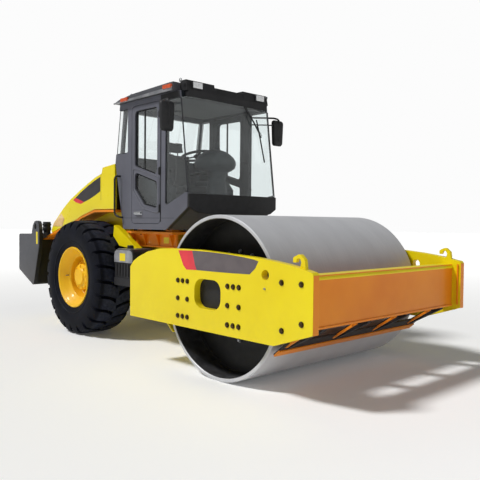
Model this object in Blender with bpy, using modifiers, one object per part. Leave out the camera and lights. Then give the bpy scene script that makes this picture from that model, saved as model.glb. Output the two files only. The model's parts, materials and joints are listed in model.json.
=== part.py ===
"""Single drum soil roller with an articulated frame, in metres, front towards +X and wheels on z = 0."""

import math

import bmesh
import bpy
from mathutils import Matrix, Vector

for old in list(bpy.data.objects):
    bpy.data.objects.remove(old, do_unlink=True)

# ---- driving sizes ---------------------------------------------------------------------------
GAP = 0.0003  # between pieces that touch
RUN = 0.005  # between pieces that move past each other
FIT = 0.0008  # round a pin or rod

# drum and front frame
DRUM_X = 1.84
DRUM_R = 0.76
DRUM_HALF = 1.05
DRUM_WALL = 0.035
HEAD_Y = 0.78  # outer face of the drum's end discs
HEAD_T = 0.03
PLATE_OUT = 1.19  # outer face of the side plates
MOTOR_RIM = 0.03  # how far the drum's middle stands out of its end discs
BLADE_DRAWN = 0.76  # drum radius that the scraper outlines are drawn for
BLADE_DIP = math.radians(30)  # how far below the drum's axis its scrapers stand
BLADE_Y = 1.04
PLATE_T = 0.07
PLATE_REACH = 1.23  # side plate ahead of and behind the drum's axis
PLATE_LOW = 0.47
PLATE_HIGH = 1.198
BEAM_BACK = 2.86
BEAM_SET_IN = 0.09  # the beam's face behind the plates' front edges
BEAM_LOW = 0.63
BEAM_HIGH = 1.045
REAR_BEAM_BACK = 0.62
REAR_BEAM_FRONT = 0.80
REAR_BEAM_LOW = 0.50
REAR_BEAM_HIGH = 0.95

# centre joint and steering
PIVOT_X = 0.36
TRUNNION_Z = 0.77
TRUNNION_R = 0.06
PIN_R = 0.05
SLEEVE_R = 0.10
LUG_LOW = 0.52
LUG_T = 0.06
LUG_HIGH = 1.08
CYL_Z = 0.80
CYL_BACK_X = -0.17  # barrel pin
CYL_BACK_Y = 0.24
CYL_FRONT_X = 0.41  # rod pin
CYL_FRONT_Y = 0.16
BARREL_R = 0.042
ROD_R = 0.02
EYE_R = 0.042
EYE_T = 0.06
EYE_PIN = 0.016

# rear wheels and axle
AXLE_X = -1.12
TYRE_R = 0.73
TYRE_Y = 0.70
TYRE_HALF = 0.265
RIM_R = 0.378
AXLE_END = 0.675
BEAD_R = 0.35  # where the tyre sits on the rim
BEAD_HALF = 0.20

# rear frame
FRAME_Y = 0.42
FRAME_T = 0.04
FRAME_LOW = 0.52
FRAME_NOSE = -0.25
FRAME_TAIL = -2.58
DECK_Y = 0.65
DECK_T = 0.03
DECK_HIGH = 1.595

# hood
HOOD_FRONT = -0.58
HOOD_REAR = -2.31
HOOD_WALL = 0.03
HOOD_TOP = 2.17
HINGE_X = -0.60
HINGE_Z = 2.115
HINGE_R = 0.010

# counterweight and tanks
WEIGHT_TAIL = -3.07
WEIGHT_Y = 0.80
WEIGHT_HIGH = 1.25
TANK_FRONT = 0.07
TANK_BACK = -0.33
TANK_Y = 0.80
TANK_LOW = 0.69
TANK_HIGH = 1.12

# cab
CAB_Y = 0.67
SIDE_T = 0.06
CAB_LOW = 1.36
CAB_TOP = 2.87
CAB_FRONT = 0.90
CAB_FRONT_TOP = 0.76
CAB_BACK = -0.35
CAB_BULGE_X = -0.53
CAB_BULGE_Z = 2.17
CAB_BACK_TOP = -0.43
NOSE_X = 0.51  # where the floor starts to rise
NOSE_LOW = 1.61
SILL_FRONT = 1.755
BOW = 0.06  # how far the windscreen bulges
GLASS_T = 0.008
GLASS_HIGH = 2.80
A_PILLAR = 0.41
B_PILLAR = -0.17
DOOR_LOW = 1.425
REAR_GLASS_Y = 0.575
DOOR_HIGH = 2.81
PLATFORM_HIGH = 1.335
CONSOLE_TOP = ((0.20, 2.165), (0.33, 2.195))
WHEEL_STEM = 0.075
ROOF_OVERHANG = 0.05
ROOF_FRONT = 0.70
ROOF_HIGH = 2.965
VISOR_INSET = 0.05
VISOR_FRONT = 0.825
VISOR_MIDDLE = 2.955
POD_HIGH = 2.985
POD_INNER = 0.22
MIRROR_OUT = 0.18  # from the cab's side to the middle of a mirror
MIRROR_LOW = 2.41
MIRROR_HIGH = 2.72
MIRROR_HALF = 0.09
RAIL_OUT = 0.07

# ---- materials and ways of making shapes -----------------------------------------------------
model = bpy.data.collections.new("road_roller")
bpy.context.scene.collection.children.link(model)
helpers = bpy.data.collections.new("cutters")
bpy.context.scene.collection.children.link(helpers)

PAINTS = {
    "yellow": ((0.89, 0.72, 0.02, 1), 0.0, 0.38),
    "orange": ((0.83, 0.42, 0.02, 1), 0.0, 0.40),
    "grey": ((0.12, 0.12, 0.14, 1), 0.0, 0.45),
    "dark": ((0.02, 0.02, 0.02, 1), 0.0, 0.50),
    "steel": ((0.36, 0.36, 0.38, 1), 0.9, 0.45),
    "chrome": ((0.75, 0.75, 0.75, 1), 1.0, 0.15),
    "iron": ((0.10, 0.10, 0.11, 1), 0.6, 0.60),
    "rubber": ((0.015, 0.015, 0.02, 1), 0.0, 0.85),
    "fabric": ((0.03, 0.03, 0.035, 1), 0.0, 0.90),
    "glass": ((0.70, 0.80, 0.80, 1), 0.0, 0.05),
}


def finish(obj, paint, origin=(0.0, 0.0, 0.0)):
    """Puts the piece in the model's collection with a material of its own and its origin on its joint."""
    obj.data.transform(Matrix.Translation([-at for at in origin]))
    obj.location = origin
    for holder in obj.users_collection:
        holder.objects.unlink(obj)
    model.objects.link(obj)
    colour, metallic, roughness = PAINTS[paint]
    made = bpy.data.materials.new(obj.name + "_paint")
    made.use_nodes = True
    shader = made.node_tree.nodes["Principled BSDF"]
    shader.inputs["Base Color"].default_value = colour
    shader.inputs["Metallic"].default_value = metallic
    shader.inputs["Roughness"].default_value = roughness
    obj.data.materials.clear()
    obj.data.materials.append(made)
    return obj


def from_bmesh(name, mesh):
    data = bpy.data.meshes.new(name)
    bmesh.ops.recalc_face_normals(mesh, faces=mesh.faces)
    mesh.to_mesh(data)
    mesh.free()
    obj = bpy.data.objects.new(name, data)
    helpers.objects.link(obj)
    return obj


def box(name, x, y, z):
    """A block between the (low, high) pairs x, y and z."""
    mesh = bmesh.new()
    corners = [mesh.verts.new((a, b, c)) for a in x for b in y for c in z]
    for face in ((0, 1, 3, 2), (4, 6, 7, 5), (0, 4, 5, 1), (2, 3, 7, 6), (0, 2, 6, 4), (1, 5, 7, 3)):
        mesh.faces.new([corners[i] for i in face])
    return from_bmesh(name, mesh)


def prism(name, outline, low, high, axis="Y"):
    """An outline pushed from low to high along an axis: (x, z) for Y, (y, z) for X, (x, y) for Z."""
    place = {
        "X": lambda a, b, c: (c, a, b),
        "Y": lambda a, b, c: (a, c, b),
        "Z": lambda a, b, c: (a, b, c),
    }[axis]
    mesh = bmesh.new()
    ends = [[mesh.verts.new(place(a, b, c)) for a, b in outline] for c in (low, high)]
    mesh.faces.new(ends[0])
    mesh.faces.new(ends[1])
    for i in range(len(outline)):
        j = (i + 1) % len(outline)
        mesh.faces.new((ends[0][i], ends[0][j], ends[1][j], ends[1][i]))
    return from_bmesh(name, mesh)


def turned(name, profile, centre, axis="Y", steps=48, closed=False):
    """A Screw of (radius, along) points about an axis through centre. A closed loop makes a ring."""
    data = bpy.data.meshes.new(name)
    place = {
        "X": lambda r, t: (t, r, 0.0),
        "Y": lambda r, t: (r, t, 0.0),
        "Z": lambda r, t: (r, 0.0, t),
    }[axis]
    edges = [(i, i + 1) for i in range(len(profile) - 1)]
    if closed:
        edges.append((len(profile) - 1, 0))
    data.from_pydata([place(r, t) for r, t in profile], edges, [])
    obj = bpy.data.objects.new(name, data)
    helpers.objects.link(obj)
    obj.location = centre
    screw = obj.modifiers.new("Screw", "SCREW")
    screw.axis = axis
    screw.steps = steps
    screw.render_steps = steps
    screw.use_merge_vertices = True
    screw.merge_threshold = 0.0001
    screw.use_normal_calculate = True
    return face_out(obj)


def settled(obj):
    """The object with its modifiers applied and its place written into its mesh."""
    bpy.context.view_layer.update()
    graph = bpy.context.evaluated_depsgraph_get()
    data = bpy.data.meshes.new_from_object(obj.evaluated_get(graph))
    data.transform(obj.matrix_world)
    name = obj.name
    bpy.data.objects.remove(obj, do_unlink=True)
    made = bpy.data.objects.new(name, data)
    helpers.objects.link(made)
    return made


def face_out(obj):
    obj = settled(obj)
    mesh = bmesh.new()
    mesh.from_mesh(obj.data)
    bmesh.ops.remove_doubles(mesh, verts=mesh.verts, dist=0.00001)
    bmesh.ops.recalc_face_normals(mesh, faces=mesh.faces)
    if mesh.calc_volume(signed=True) < 0:
        bmesh.ops.reverse_faces(mesh, faces=mesh.faces)
    mesh.to_mesh(obj.data)
    mesh.free()
    return obj


def tube(name, points, radius, bends=3):
    """A round bar along points, as a bevelled curve with filled caps."""
    curve = bpy.data.curves.new(name, "CURVE")
    curve.dimensions = "3D"
    curve.bevel_depth = radius
    curve.bevel_resolution = bends
    curve.use_fill_caps = True
    line = curve.splines.new("POLY")
    line.points.add(len(points) - 1)
    for spot, place in zip(line.points, points):
        spot.co = (*place, 1.0)
    obj = bpy.data.objects.new(name, curve)
    helpers.objects.link(obj)
    return face_out(obj)


def combine(obj, others, operation):
    for other in others:
        step = obj.modifiers.new(operation.title(), "BOOLEAN")
        step.operation = operation
        step.solver = "EXACT"
        step.object = other
        obj = settled(obj)
        bpy.data.objects.remove(other, do_unlink=True)
    return obj


def join(obj, *others):
    return combine(obj, others, "UNION")


def cut(obj, *others):
    return combine(obj, others, "DIFFERENCE")


def rounded(outline, radius, steps=4):
    """The outline with each corner replaced by an arc. radius is one number or one for each corner."""
    radii = radius if isinstance(radius, (list, tuple)) else [radius] * len(outline)
    points = []
    for i, corner in enumerate(outline):
        here = Vector(corner)
        back = (Vector(outline[i - 1]) - here).normalized()
        on = (Vector(outline[(i + 1) % len(outline)]) - here).normalized()
        if radii[i] == 0:
            points.append(tuple(here))
            continue
        half = back.angle(on) / 2
        start = here + back * radii[i] / math.tan(half)
        end = here + on * radii[i] / math.tan(half)
        centre = here + (back + on).normalized() * radii[i] / math.sin(half)
        first = start - centre
        turn = first.angle_signed(end - centre)
        for k in range(steps + 1):
            angle = -turn * k / steps
            c, s = math.cos(angle), math.sin(angle)
            points.append((centre.x + c * first.x - s * first.y, centre.y + s * first.x + c * first.y))
    return points


def inset(outline, by):
    """A convex outline with every side moved inwards."""
    centre = sum((Vector(p) for p in outline), Vector((0, 0))) / len(outline)
    lines = []
    for i, corner in enumerate(outline):
        a, b = Vector(corner), Vector(outline[(i + 1) % len(outline)])
        normal = Vector((a.y - b.y, b.x - a.x)).normalized()
        if normal.dot(centre - a) < 0:
            normal = -normal
        lines.append((a + normal * by, (b - a).normalized()))
    points = []
    for i in range(len(lines)):
        (a, d), (b, e) = lines[i - 1], lines[i]
        t = ((b.x - a.x) * e.y - (b.y - a.y) * e.x) / (d.x * e.y - d.y * e.x)
        points.append(tuple(a + d * t))
    return points


def both(make):
    """Makes the right piece (side -1) and the left one (side +1)."""
    return [make("right", -1), make("left", 1)]


def span(side, near, far):
    """(low, high) in y for a piece between two distances from the middle."""
    return (near, far) if side > 0 else (-far, -near)


# ---- drum ------------------------------------------------------------------------------------
drum_axis = (DRUM_X, 0.0, DRUM_R)
shell_in = DRUM_R - DRUM_WALL
HEAD_FACE = HEAD_Y + MOTOR_RIM
drum_profile = [
    (0.0, -HEAD_FACE),
    (0.28, -HEAD_FACE),
    (0.30, -HEAD_Y),
    (shell_in, -HEAD_Y),
    (shell_in, -DRUM_HALF),
    (DRUM_R, -DRUM_HALF),
    (DRUM_R, DRUM_HALF),
    (shell_in, DRUM_HALF),
    (shell_in, HEAD_Y),
    (0.30, HEAD_Y),
    (0.28, HEAD_FACE),
    (0.0, HEAD_FACE),
]
drum = turned("drum", drum_profile, drum_axis, steps=72)
finish(drum, "steel", drum_axis)

# ---- front frame: side plates, beams, drum mounts and scrapers ---------------------------------
swing_axis = (REAR_BEAM_BACK, 0.0, TRUNNION_Z)
plate_in = PLATE_OUT - PLATE_T
front = DRUM_X + PLATE_REACH
rear = DRUM_X - PLATE_REACH
plate_outline = [
    (rear, PLATE_LOW),
    (rear, 0.982),
    (rear + 0.06, 1.045),
    (rear + 0.15, 1.092),
    (rear + 0.31, 1.150),
    (rear + 0.51, 1.188),
    (rear + 0.70, PLATE_HIGH),
    (DRUM_X - 0.09, PLATE_HIGH),
    (DRUM_X + 0.60, 1.166),
    (DRUM_X + 0.80, 1.148),
    (DRUM_X + 1.02, 1.120),
    (front - 0.015, 1.080),
    (front, 1.062),
    (front, 0.611),
    (front - 0.03, 0.597),
    (DRUM_X + 0.827, PLATE_LOW),
]
window = [
    (DRUM_X - 0.172, 0.673),
    (DRUM_X + 0.191, 0.673),
    (DRUM_X + 0.191, 0.939),
    (DRUM_X - 0.172, 0.939),
]
hook_outline = rounded(
    [
        (front - 0.18, 1.05),
        (front - 0.10, 1.05),
        (front - 0.115, 1.17),
        (front - 0.165, 1.215),
        (front - 0.235, 1.185),
        (front - 0.235, 1.145),
        (front - 0.205, 1.145),
        (front - 0.195, 1.175),
        (front - 0.165, 1.18),
        (front - 0.150, 1.15),
    ],
    [0, 0, 0.02, 0.03, 0.02, 0.005, 0.005, 0.01, 0.01, 0.01],
    3,
)


def side_plate(name, side):
    low, high = span(side, plate_in, PLATE_OUT)
    plate = prism("side_plate_" + name, plate_outline, low, high)
    opening = prism("opening", rounded(window, 0.10, 6), low - 0.1, high + 0.1)
    eye = turned(
        "eye",
        [(0.0, -0.1), (0.042, -0.1), (0.042, 0.1), (0.0, 0.1)],
        (DRUM_X + 0.73, side * (PLATE_OUT - PLATE_T / 2), 1.029),
        steps=24,
    )
    hook_low, hook_high = span(side, plate_in, plate_in + 0.035)
    plate = join(plate, prism("hook", hook_outline, hook_low, hook_high))
    return finish(cut(plate, opening, eye), "yellow", swing_axis)


both(side_plate)

beam_end = plate_in - GAP
beam_outline = [
    (BEAM_BACK, BEAM_LOW),
    (front - BEAM_SET_IN, BEAM_LOW),
    (front - BEAM_SET_IN, BEAM_HIGH),
    (BEAM_BACK, BEAM_HIGH),
]
finish(prism("front_beam", beam_outline, -beam_end, beam_end), "orange", swing_axis)

rear_beam = box(
    "rear_beam",
    (REAR_BEAM_BACK, REAR_BEAM_FRONT),
    (-beam_end, beam_end),
    (REAR_BEAM_LOW, REAR_BEAM_HIGH),
)
trunnion_bore = turned(
    "trunnion_bore",
    [(0.0, 0.5), (TRUNNION_R + FIT, 0.5), (TRUNNION_R + FIT, 0.9), (0.0, 0.9)],
    (0.0, 0.0, TRUNNION_Z),
    axis="X",
    steps=32,
)
finish(cut(rear_beam, trunnion_bore), "yellow", swing_axis)


def drum_mount(name, side):
    """The plate inside the side plate, with the drum's motor housing reaching in to the drum head."""
    low, high = span(side, DRUM_HALF + 0.02, plate_in - GAP)
    outline = rounded(
        [(DRUM_X - 0.48, 0.50), (DRUM_X + 0.48, 0.50), (DRUM_X + 0.48, 0.96), (DRUM_X - 0.48, 0.96)],
        0.08,
        4,
    )
    housing = turned(
        "housing",
        [
            (0.0, side * (HEAD_FACE + GAP)),
            (0.19, side * (HEAD_FACE + GAP)),
            (0.19, side * 0.90),
            (0.24, side * 0.93),
            (0.24, side * (DRUM_HALF + 0.03)),
            (0.0, side * (DRUM_HALF + 0.03)),
        ],
        drum_axis,
        steps=32,
    )
    return finish(join(prism("drum_mount_" + name, outline, low, high), housing), "dark", swing_axis)


both(drum_mount)


def by_drum(ahead, along, height):
    """A point near the drum's skin, ahead of (1) or behind (-1) its axis, that follows the drum's radius."""
    grown = DRUM_R - BLADE_DRAWN
    x = DRUM_X + ahead * (along + grown * math.cos(BLADE_DIP))
    return (x, height + grown * (1 - math.sin(BLADE_DIP)))


def scraper_of(name, ahead, feet):
    """A blade close to the drum and four arms up to the beam that carries it."""
    blade = [by_drum(ahead, *at) for at in ((0.687, 0.362), (0.698, 0.350), (0.848, 0.470), (0.838, 0.484))]
    arm = [by_drum(ahead, 0.735, 0.383), by_drum(ahead, 0.790, 0.415)] + feet + [by_drum(ahead, 0.800, 0.470)]
    made = prism(name, blade, -BLADE_Y, BLADE_Y)
    for y in (-0.96, -0.34, 0.28, 0.90):
        made = join(made, prism("arm", arm, y, y + 0.06))
    return made


front_feet = [
    (DRUM_X + 1.130, BEAM_LOW - 0.030),
    (DRUM_X + 1.130, BEAM_LOW - GAP),
    (DRUM_X + 1.050, BEAM_LOW - GAP),
]
scraper = scraper_of("front_scraper", 1, front_feet)
finish(scraper, "orange", swing_axis)

rear_feet = [
    (REAR_BEAM_FRONT - 0.08, REAR_BEAM_LOW - 0.03),
    (REAR_BEAM_FRONT - 0.08, REAR_BEAM_LOW - GAP),
    (REAR_BEAM_FRONT, REAR_BEAM_LOW - GAP),
]
scraper = scraper_of("rear_scraper", -1, rear_feet)
finish(scraper, "yellow", swing_axis)

# ---- centre joint and steering cylinders --------------------------------------------------------
lug_top = LUG_HIGH - LUG_T
lug_bottom = LUG_LOW + LUG_T
sleeve = turned(
    "centre_joint",
    [
        (PIN_R + FIT, lug_bottom + RUN),
        (SLEEVE_R, lug_bottom + RUN),
        (SLEEVE_R, lug_top - RUN),
        (PIN_R + FIT, lug_top - RUN),
    ],
    (PIVOT_X, 0.0, 0.0),
    axis="Z",
    steps=40,
    closed=True,
)
yoke_block = box("block", (PIVOT_X + 0.07, 0.56), (-0.12, 0.12), (0.64, 0.90))
trunnion = turned(
    "trunnion",
    [(0.0, 0.52), (TRUNNION_R, 0.52), (TRUNNION_R, 0.80), (0.0, 0.80)],
    (0.0, 0.0, TRUNNION_Z),
    axis="X",
    steps=32,
)
arm_high = CYL_Z - EYE_T / 2 - GAP
arm_low = arm_high - 0.025
arms = box("arms", (CYL_FRONT_X - 0.03, CYL_FRONT_X + 0.04), (-0.20, 0.20), (arm_low, arm_high))
clear_sleeve = turned(
    "clear_sleeve",
    [(0.0, 0.0), (SLEEVE_R - 0.02, 0.0), (SLEEVE_R - 0.02, 2.0), (0.0, 2.0)],
    (PIVOT_X, 0.0, 0.0),
    axis="Z",
    steps=40,
)
arms = cut(arms, clear_sleeve)
finish(join(sleeve, yoke_block, trunnion, arms), "yellow", (PIVOT_X, 0.0, CYL_Z))

reach = math.hypot(CYL_FRONT_X - CYL_BACK_X, CYL_FRONT_Y - CYL_BACK_Y)


def along(side, points):
    """Points given along and across a steering cylinder, turned to its line."""
    start = Vector((CYL_BACK_X, side * CYL_BACK_Y))
    line = (Vector((CYL_FRONT_X, side * CYL_FRONT_Y)) - start).normalized()
    across = Vector((-line.y, line.x))
    return [tuple(start + line * a + across * b) for a, b in points]


def eye_ring(centre):
    half = EYE_T / 2
    return turned(
        "eye",
        [(EYE_PIN + FIT, -half), (EYE_R, -half), (EYE_R, half), (EYE_PIN + FIT, half)],
        (*centre, CYL_Z),
        axis="Z",
        steps=24,
        closed=True,
    )


def eye_disc(centre):
    half = EYE_T / 2
    top = half + 0.02
    profile = [(0.0, -half), (EYE_R, -half), (EYE_R, half), (EYE_PIN, half), (EYE_PIN, top), (0.0, top)]
    return turned("eye", profile, (*centre, CYL_Z), axis="Z", steps=24)


def on_line(name, side, profile, closed):
    """A turned piece whose axis runs from the barrel pin to the rod pin."""
    piece = turned(name, profile, (0.0, 0.0, 0.0), axis="X", steps=28, closed=closed)
    angle = math.atan2(side * (CYL_FRONT_Y - CYL_BACK_Y), CYL_FRONT_X - CYL_BACK_X)
    piece.rotation_euler = (0.0, 0.0, angle)
    piece.location = (CYL_BACK_X, side * CYL_BACK_Y, CYL_Z)
    return settled(piece)


def barrel(name, side):
    body = on_line(
        "steer_barrel_" + name,
        side,
        [
            (0.0, 0.035),
            (BARREL_R, 0.035),
            (BARREL_R, 0.33),
            (ROD_R + FIT, 0.33),
            (ROD_R + FIT, 0.065),
            (0.0, 0.065),
        ],
        False,
    )
    pin = (CYL_BACK_X, side * CYL_BACK_Y, CYL_Z)
    return finish(join(body, eye_ring(along(side, [(0.0, 0.0)])[0])), "iron", pin)


def rod(name, side):
    body = on_line(
        "steer_rod_" + name,
        side,
        [(0.0, 0.205), (ROD_R, 0.205), (ROD_R, reach - 0.035), (0.0, reach - 0.035)],
        False,
    )
    pin = (CYL_FRONT_X, side * CYL_FRONT_Y, CYL_Z)
    return finish(join(body, eye_disc(along(side, [(reach, 0.0)])[0])), "chrome", pin)


both(barrel)
both(rod)

# ---- rear frame ---------------------------------------------------------------------------------
deck_line = [
    (-0.56, DECK_HIGH),
    (-1.08, DECK_HIGH),
    (-1.41, 1.515),
    (-1.58, 1.455),
    (HOOD_REAR, 1.265),
    (FRAME_TAIL, 1.195),
]
frame_outline = [
    (0.30, PLATFORM_HIGH - 0.03 - GAP),
    (0.30, 1.12),
    (-0.02, 1.00),
    (-0.02, 0.62),
    (-0.10, FRAME_LOW),
    (-0.80, FRAME_LOW),
    (-0.86, 0.86),
    (-1.38, 0.86),
    (-1.44, 0.56),
    (FRAME_TAIL, 0.56),
] + [(x, z) for x, z in reversed(deck_line)]
frame_outline.append((-0.56, PLATFORM_HIGH - 0.03 - GAP))
rear_frame = prism("rear_frame", frame_outline, -FRAME_Y, FRAME_Y)
inner = FRAME_Y - FRAME_T
bay = box("bay", (FRAME_TAIL + FRAME_T, FRAME_NOSE - FRAME_T), (-inner, inner), (0.60, 2.0))
nose = box("nose", (FRAME_NOSE, 1.0), (-inner, inner), (0.0, 2.0))
rear_frame = cut(rear_frame, bay, nose)
deck = deck_line + [(x, z - DECK_T) for x, z in reversed(deck_line)]


def fender(name, side):
    """The bent plate over the wheel, beside the frame."""
    low, high = span(side, FRAME_Y + GAP, DECK_Y)
    return finish(prism("fender_" + name, deck, low, high), "yellow")


both(fender)
for z in (LUG_LOW, lug_top):
    lug = prism(
        "lug",
        rounded(
            [
                (FRAME_NOSE - 0.02, -0.17),
                (PIVOT_X + 0.12, -0.12),
                (PIVOT_X + 0.12, 0.12),
                (FRAME_NOSE - 0.02, 0.17),
            ],
            [0, 0.10, 0.10, 0],
            6,
        ),
        z,
        z + LUG_T,
        axis="Z",
    )
    rear_frame = join(rear_frame, lug)
king_pin = turned(
    "king_pin",
    [(0.0, LUG_LOW + 0.01), (PIN_R, LUG_LOW + 0.01), (PIN_R, LUG_HIGH + 0.02), (0.0, LUG_HIGH + 0.02)],
    (PIVOT_X, 0.0, 0.0),
    axis="Z",
    steps=32,
)
rear_frame = join(rear_frame, king_pin)
for side in (-1, 1):
    low, high = span(side, CYL_BACK_Y - 0.04, CYL_BACK_Y + 0.04)
    shelf = box("shelf", (FRAME_NOSE - 0.02, CYL_BACK_X + 0.03), (low, high), (arm_low, arm_high))
    pin = turned(
        "pin",
        [(0.0, arm_low + 0.005), (EYE_PIN, arm_low + 0.005), (EYE_PIN, CYL_Z + 0.05), (0.0, CYL_Z + 0.05)],
        (CYL_BACK_X, side * CYL_BACK_Y, 0.0),
        axis="Z",
        steps=20,
    )
    rear_frame = join(rear_frame, shelf, pin)
finish(rear_frame, "yellow")

# A channel that carries the cab over the joint, with four mounts.
platform_profile = [
    (-0.56, PLATFORM_HIGH),
    (-0.56, PLATFORM_HIGH - 0.03),
    (-0.50, PLATFORM_HIGH - 0.03),
    (-0.50, 1.15),
    (-0.47, 1.15),
    (-0.47, PLATFORM_HIGH - 0.03),
    (0.47, PLATFORM_HIGH - 0.03),
    (0.47, 1.15),
    (0.50, 1.15),
    (0.50, PLATFORM_HIGH - 0.03),
    (0.56, PLATFORM_HIGH - 0.03),
    (0.56, PLATFORM_HIGH),
]
platform = prism("cab_platform", platform_profile, -0.46, 0.49, axis="X")
for x in (-0.22, 0.36):
    for y in (-0.45, 0.45):
        pad = box("pad", (x - 0.06, x + 0.06), (y - 0.06, y + 0.06), (PLATFORM_HIGH - 0.01, CAB_LOW - GAP))
        platform = join(platform, pad)
finish(platform, "orange")

finish(box("engine", (-1.95, -0.95), (-inner + GAP, inner - GAP), (0.98, 1.45)), "iron")
finish(
    box("radiator", (FRAME_TAIL + FRAME_T + GAP, -2.38), (-inner + GAP, inner - GAP), (0.60 + GAP, 1.36)),
    "dark",
)

# ---- rear axle and wheels ---------------------------------------------------------------------------
axle = turned(
    "rear_axle",
    [
        (0.0, -AXLE_END),
        (0.16, -AXLE_END),
        (0.16, -0.50),
        (0.10, -0.46),
        (0.10, -0.22),
        (0.20, -0.14),
        (0.20, 0.14),
        (0.10, 0.22),
        (0.10, 0.46),
        (0.16, 0.50),
        (0.16, AXLE_END),
        (0.0, AXLE_END),
    ],
    (AXLE_X, 0.0, TYRE_R),
    steps=32,
)
for side in (-1, 1):
    low, high = span(side, 0.36, 0.44)
    axle = join(axle, box("saddle", (AXLE_X - 0.10, AXLE_X + 0.10), (low, high), (TYRE_R, 0.86 - GAP)))
finish(axle, "yellow")

tyre_half_loop = [
    (BEAD_R, BEAD_HALF),
    (BEAD_R + 0.040, BEAD_HALF),
    (TYRE_R - 0.190, TYRE_HALF),
    (TYRE_R - 0.130, TYRE_HALF),
    (TYRE_R - 0.055, TYRE_HALF - 0.010),
    (TYRE_R - 0.002, TYRE_HALF - 0.060),
    (TYRE_R, 0.100),
]
tyre_loop = tyre_half_loop + [(r, -t) for r, t in reversed(tyre_half_loop)]
rim_loop = [
    (0.0, -0.02),
    (0.270, -0.02),
    (0.318, -0.09),
    (0.330, -0.225),
    (RIM_R, -BEAD_HALF - 0.025),
    (RIM_R, -BEAD_HALF - GAP),
    (BEAD_R - GAP, -BEAD_HALF - GAP),
    (BEAD_R - GAP, BEAD_HALF + GAP),
    (RIM_R, BEAD_HALF + GAP),
    (RIM_R, BEAD_HALF + 0.025),
    (BEAD_R, BEAD_HALF + 0.025),
    (0.318, 0.165),
    (0.275, 0.02),
    (0.165, 0.02),
    (0.155, 0.080),
    (0.100, 0.115),
    (0.0, 0.115),
]


def tyre(name, side):
    centre = (AXLE_X, side * TYRE_Y, TYRE_R)
    return finish(turned("tyre_" + name, tyre_loop, centre, steps=48, closed=True), "rubber", centre)


def rim(name, side):
    centre = (AXLE_X, side * TYRE_Y, TYRE_R)
    loop = [(r, side * t) for r, t in rim_loop]
    return finish(turned("rim_" + name, loop, centre, steps=48), "orange", centre)


both(tyre)
both(rim)

# ---- counterweight and tanks ----------------------------------------------------------------------
weight_outline = rounded(
    [
        (FRAME_TAIL - GAP, 0.50),
        (FRAME_TAIL - GAP, WEIGHT_HIGH),
        (WEIGHT_TAIL, WEIGHT_HIGH),
        (WEIGHT_TAIL, 0.71),
    ],
    [0.01, 0.01, 0.03, 0.03],
    3,
)
finish(prism("counterweight", weight_outline, -WEIGHT_Y, WEIGHT_Y), "grey")


def tank(name, side):
    """A fuel or oil tank with rounded upper edges, standing against the frame."""
    low, high = span(side, FRAME_Y + GAP, TANK_Y)
    outline = rounded(
        [(TANK_BACK, TANK_LOW), (TANK_FRONT, TANK_LOW), (TANK_FRONT, TANK_HIGH), (TANK_BACK, TANK_HIGH)],
        [0.03, 0.03, 0.07, 0.07],
        4,
    )
    return finish(prism("tank_" + name, outline, low, high), "grey")


both(tank)

# ---- hood ---------------------------------------------------------------------------------------------
hood_top = [
    (HOOD_FRONT, HOOD_TOP),
    (-0.885, 2.14),
    (-0.910, 2.065),
    (-1.060, 2.025),
    (-1.240, 1.960),
    (-1.450, 1.875),
    (-1.740, 1.750),
    (-1.945, 1.630),
    (-2.240, 1.42),
    (HOOD_REAR, 1.32),
]
hood_low = [(HOOD_REAR, 1.270), (-1.58, 1.460), (-1.41, 1.520), (-1.08, 1.600), (HOOD_FRONT, 1.600)]
hood_in = [
    (HOOD_FRONT + 0.1, HOOD_TOP - HOOD_WALL),
    (HOOD_FRONT, HOOD_TOP - HOOD_WALL),
    (-0.855, 2.142 - HOOD_WALL),
    (-0.882, 2.060 - HOOD_WALL),
    (-1.052, 2.018 - HOOD_WALL),
    (-1.240, 1.952 - HOOD_WALL),
    (-1.450, 1.867 - HOOD_WALL),
    (-1.735, 1.744 - HOOD_WALL),
    (-1.935, 1.626 - HOOD_WALL),
    (-2.225, 1.42 - HOOD_WALL),
    (HOOD_REAR + HOOD_WALL, 1.31),
    (HOOD_REAR + HOOD_WALL, 0.9),
    (HOOD_FRONT + 0.1, 0.9),
]
hood_half = DECK_Y
hood_inside = hood_half - HOOD_WALL
hood = prism("hood", hood_top + hood_low, -hood_half, hood_half)
bevel = hood.modifiers.new("Bevel", "BEVEL")
bevel.width = 0.018
bevel.segments = 2
bevel.limit_method = "ANGLE"
bevel.angle_limit = math.radians(70)
hood = settled(hood)
hood = cut(hood, prism("hood_inside", hood_in, -hood_inside, hood_inside))
hinge = (HINGE_X, 0.0, HINGE_Z)
for y in (-0.40, 0.40):
    knuckle = turned(
        "knuckle",
        [(HINGE_R + FIT, y - 0.03), (0.022, y - 0.03), (0.022, y + 0.03), (HINGE_R + FIT, y + 0.03)],
        hinge,
        steps=20,
        closed=True,
    )
    web_x = (HINGE_X - 0.02, HINGE_X + 0.01)
    web = box("web", web_x, (y - 0.03, y + 0.03), (HINGE_Z + 0.014, HOOD_TOP - 0.01))
    hood = join(hood, knuckle, web)
finish(hood, "yellow", hinge)

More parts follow.
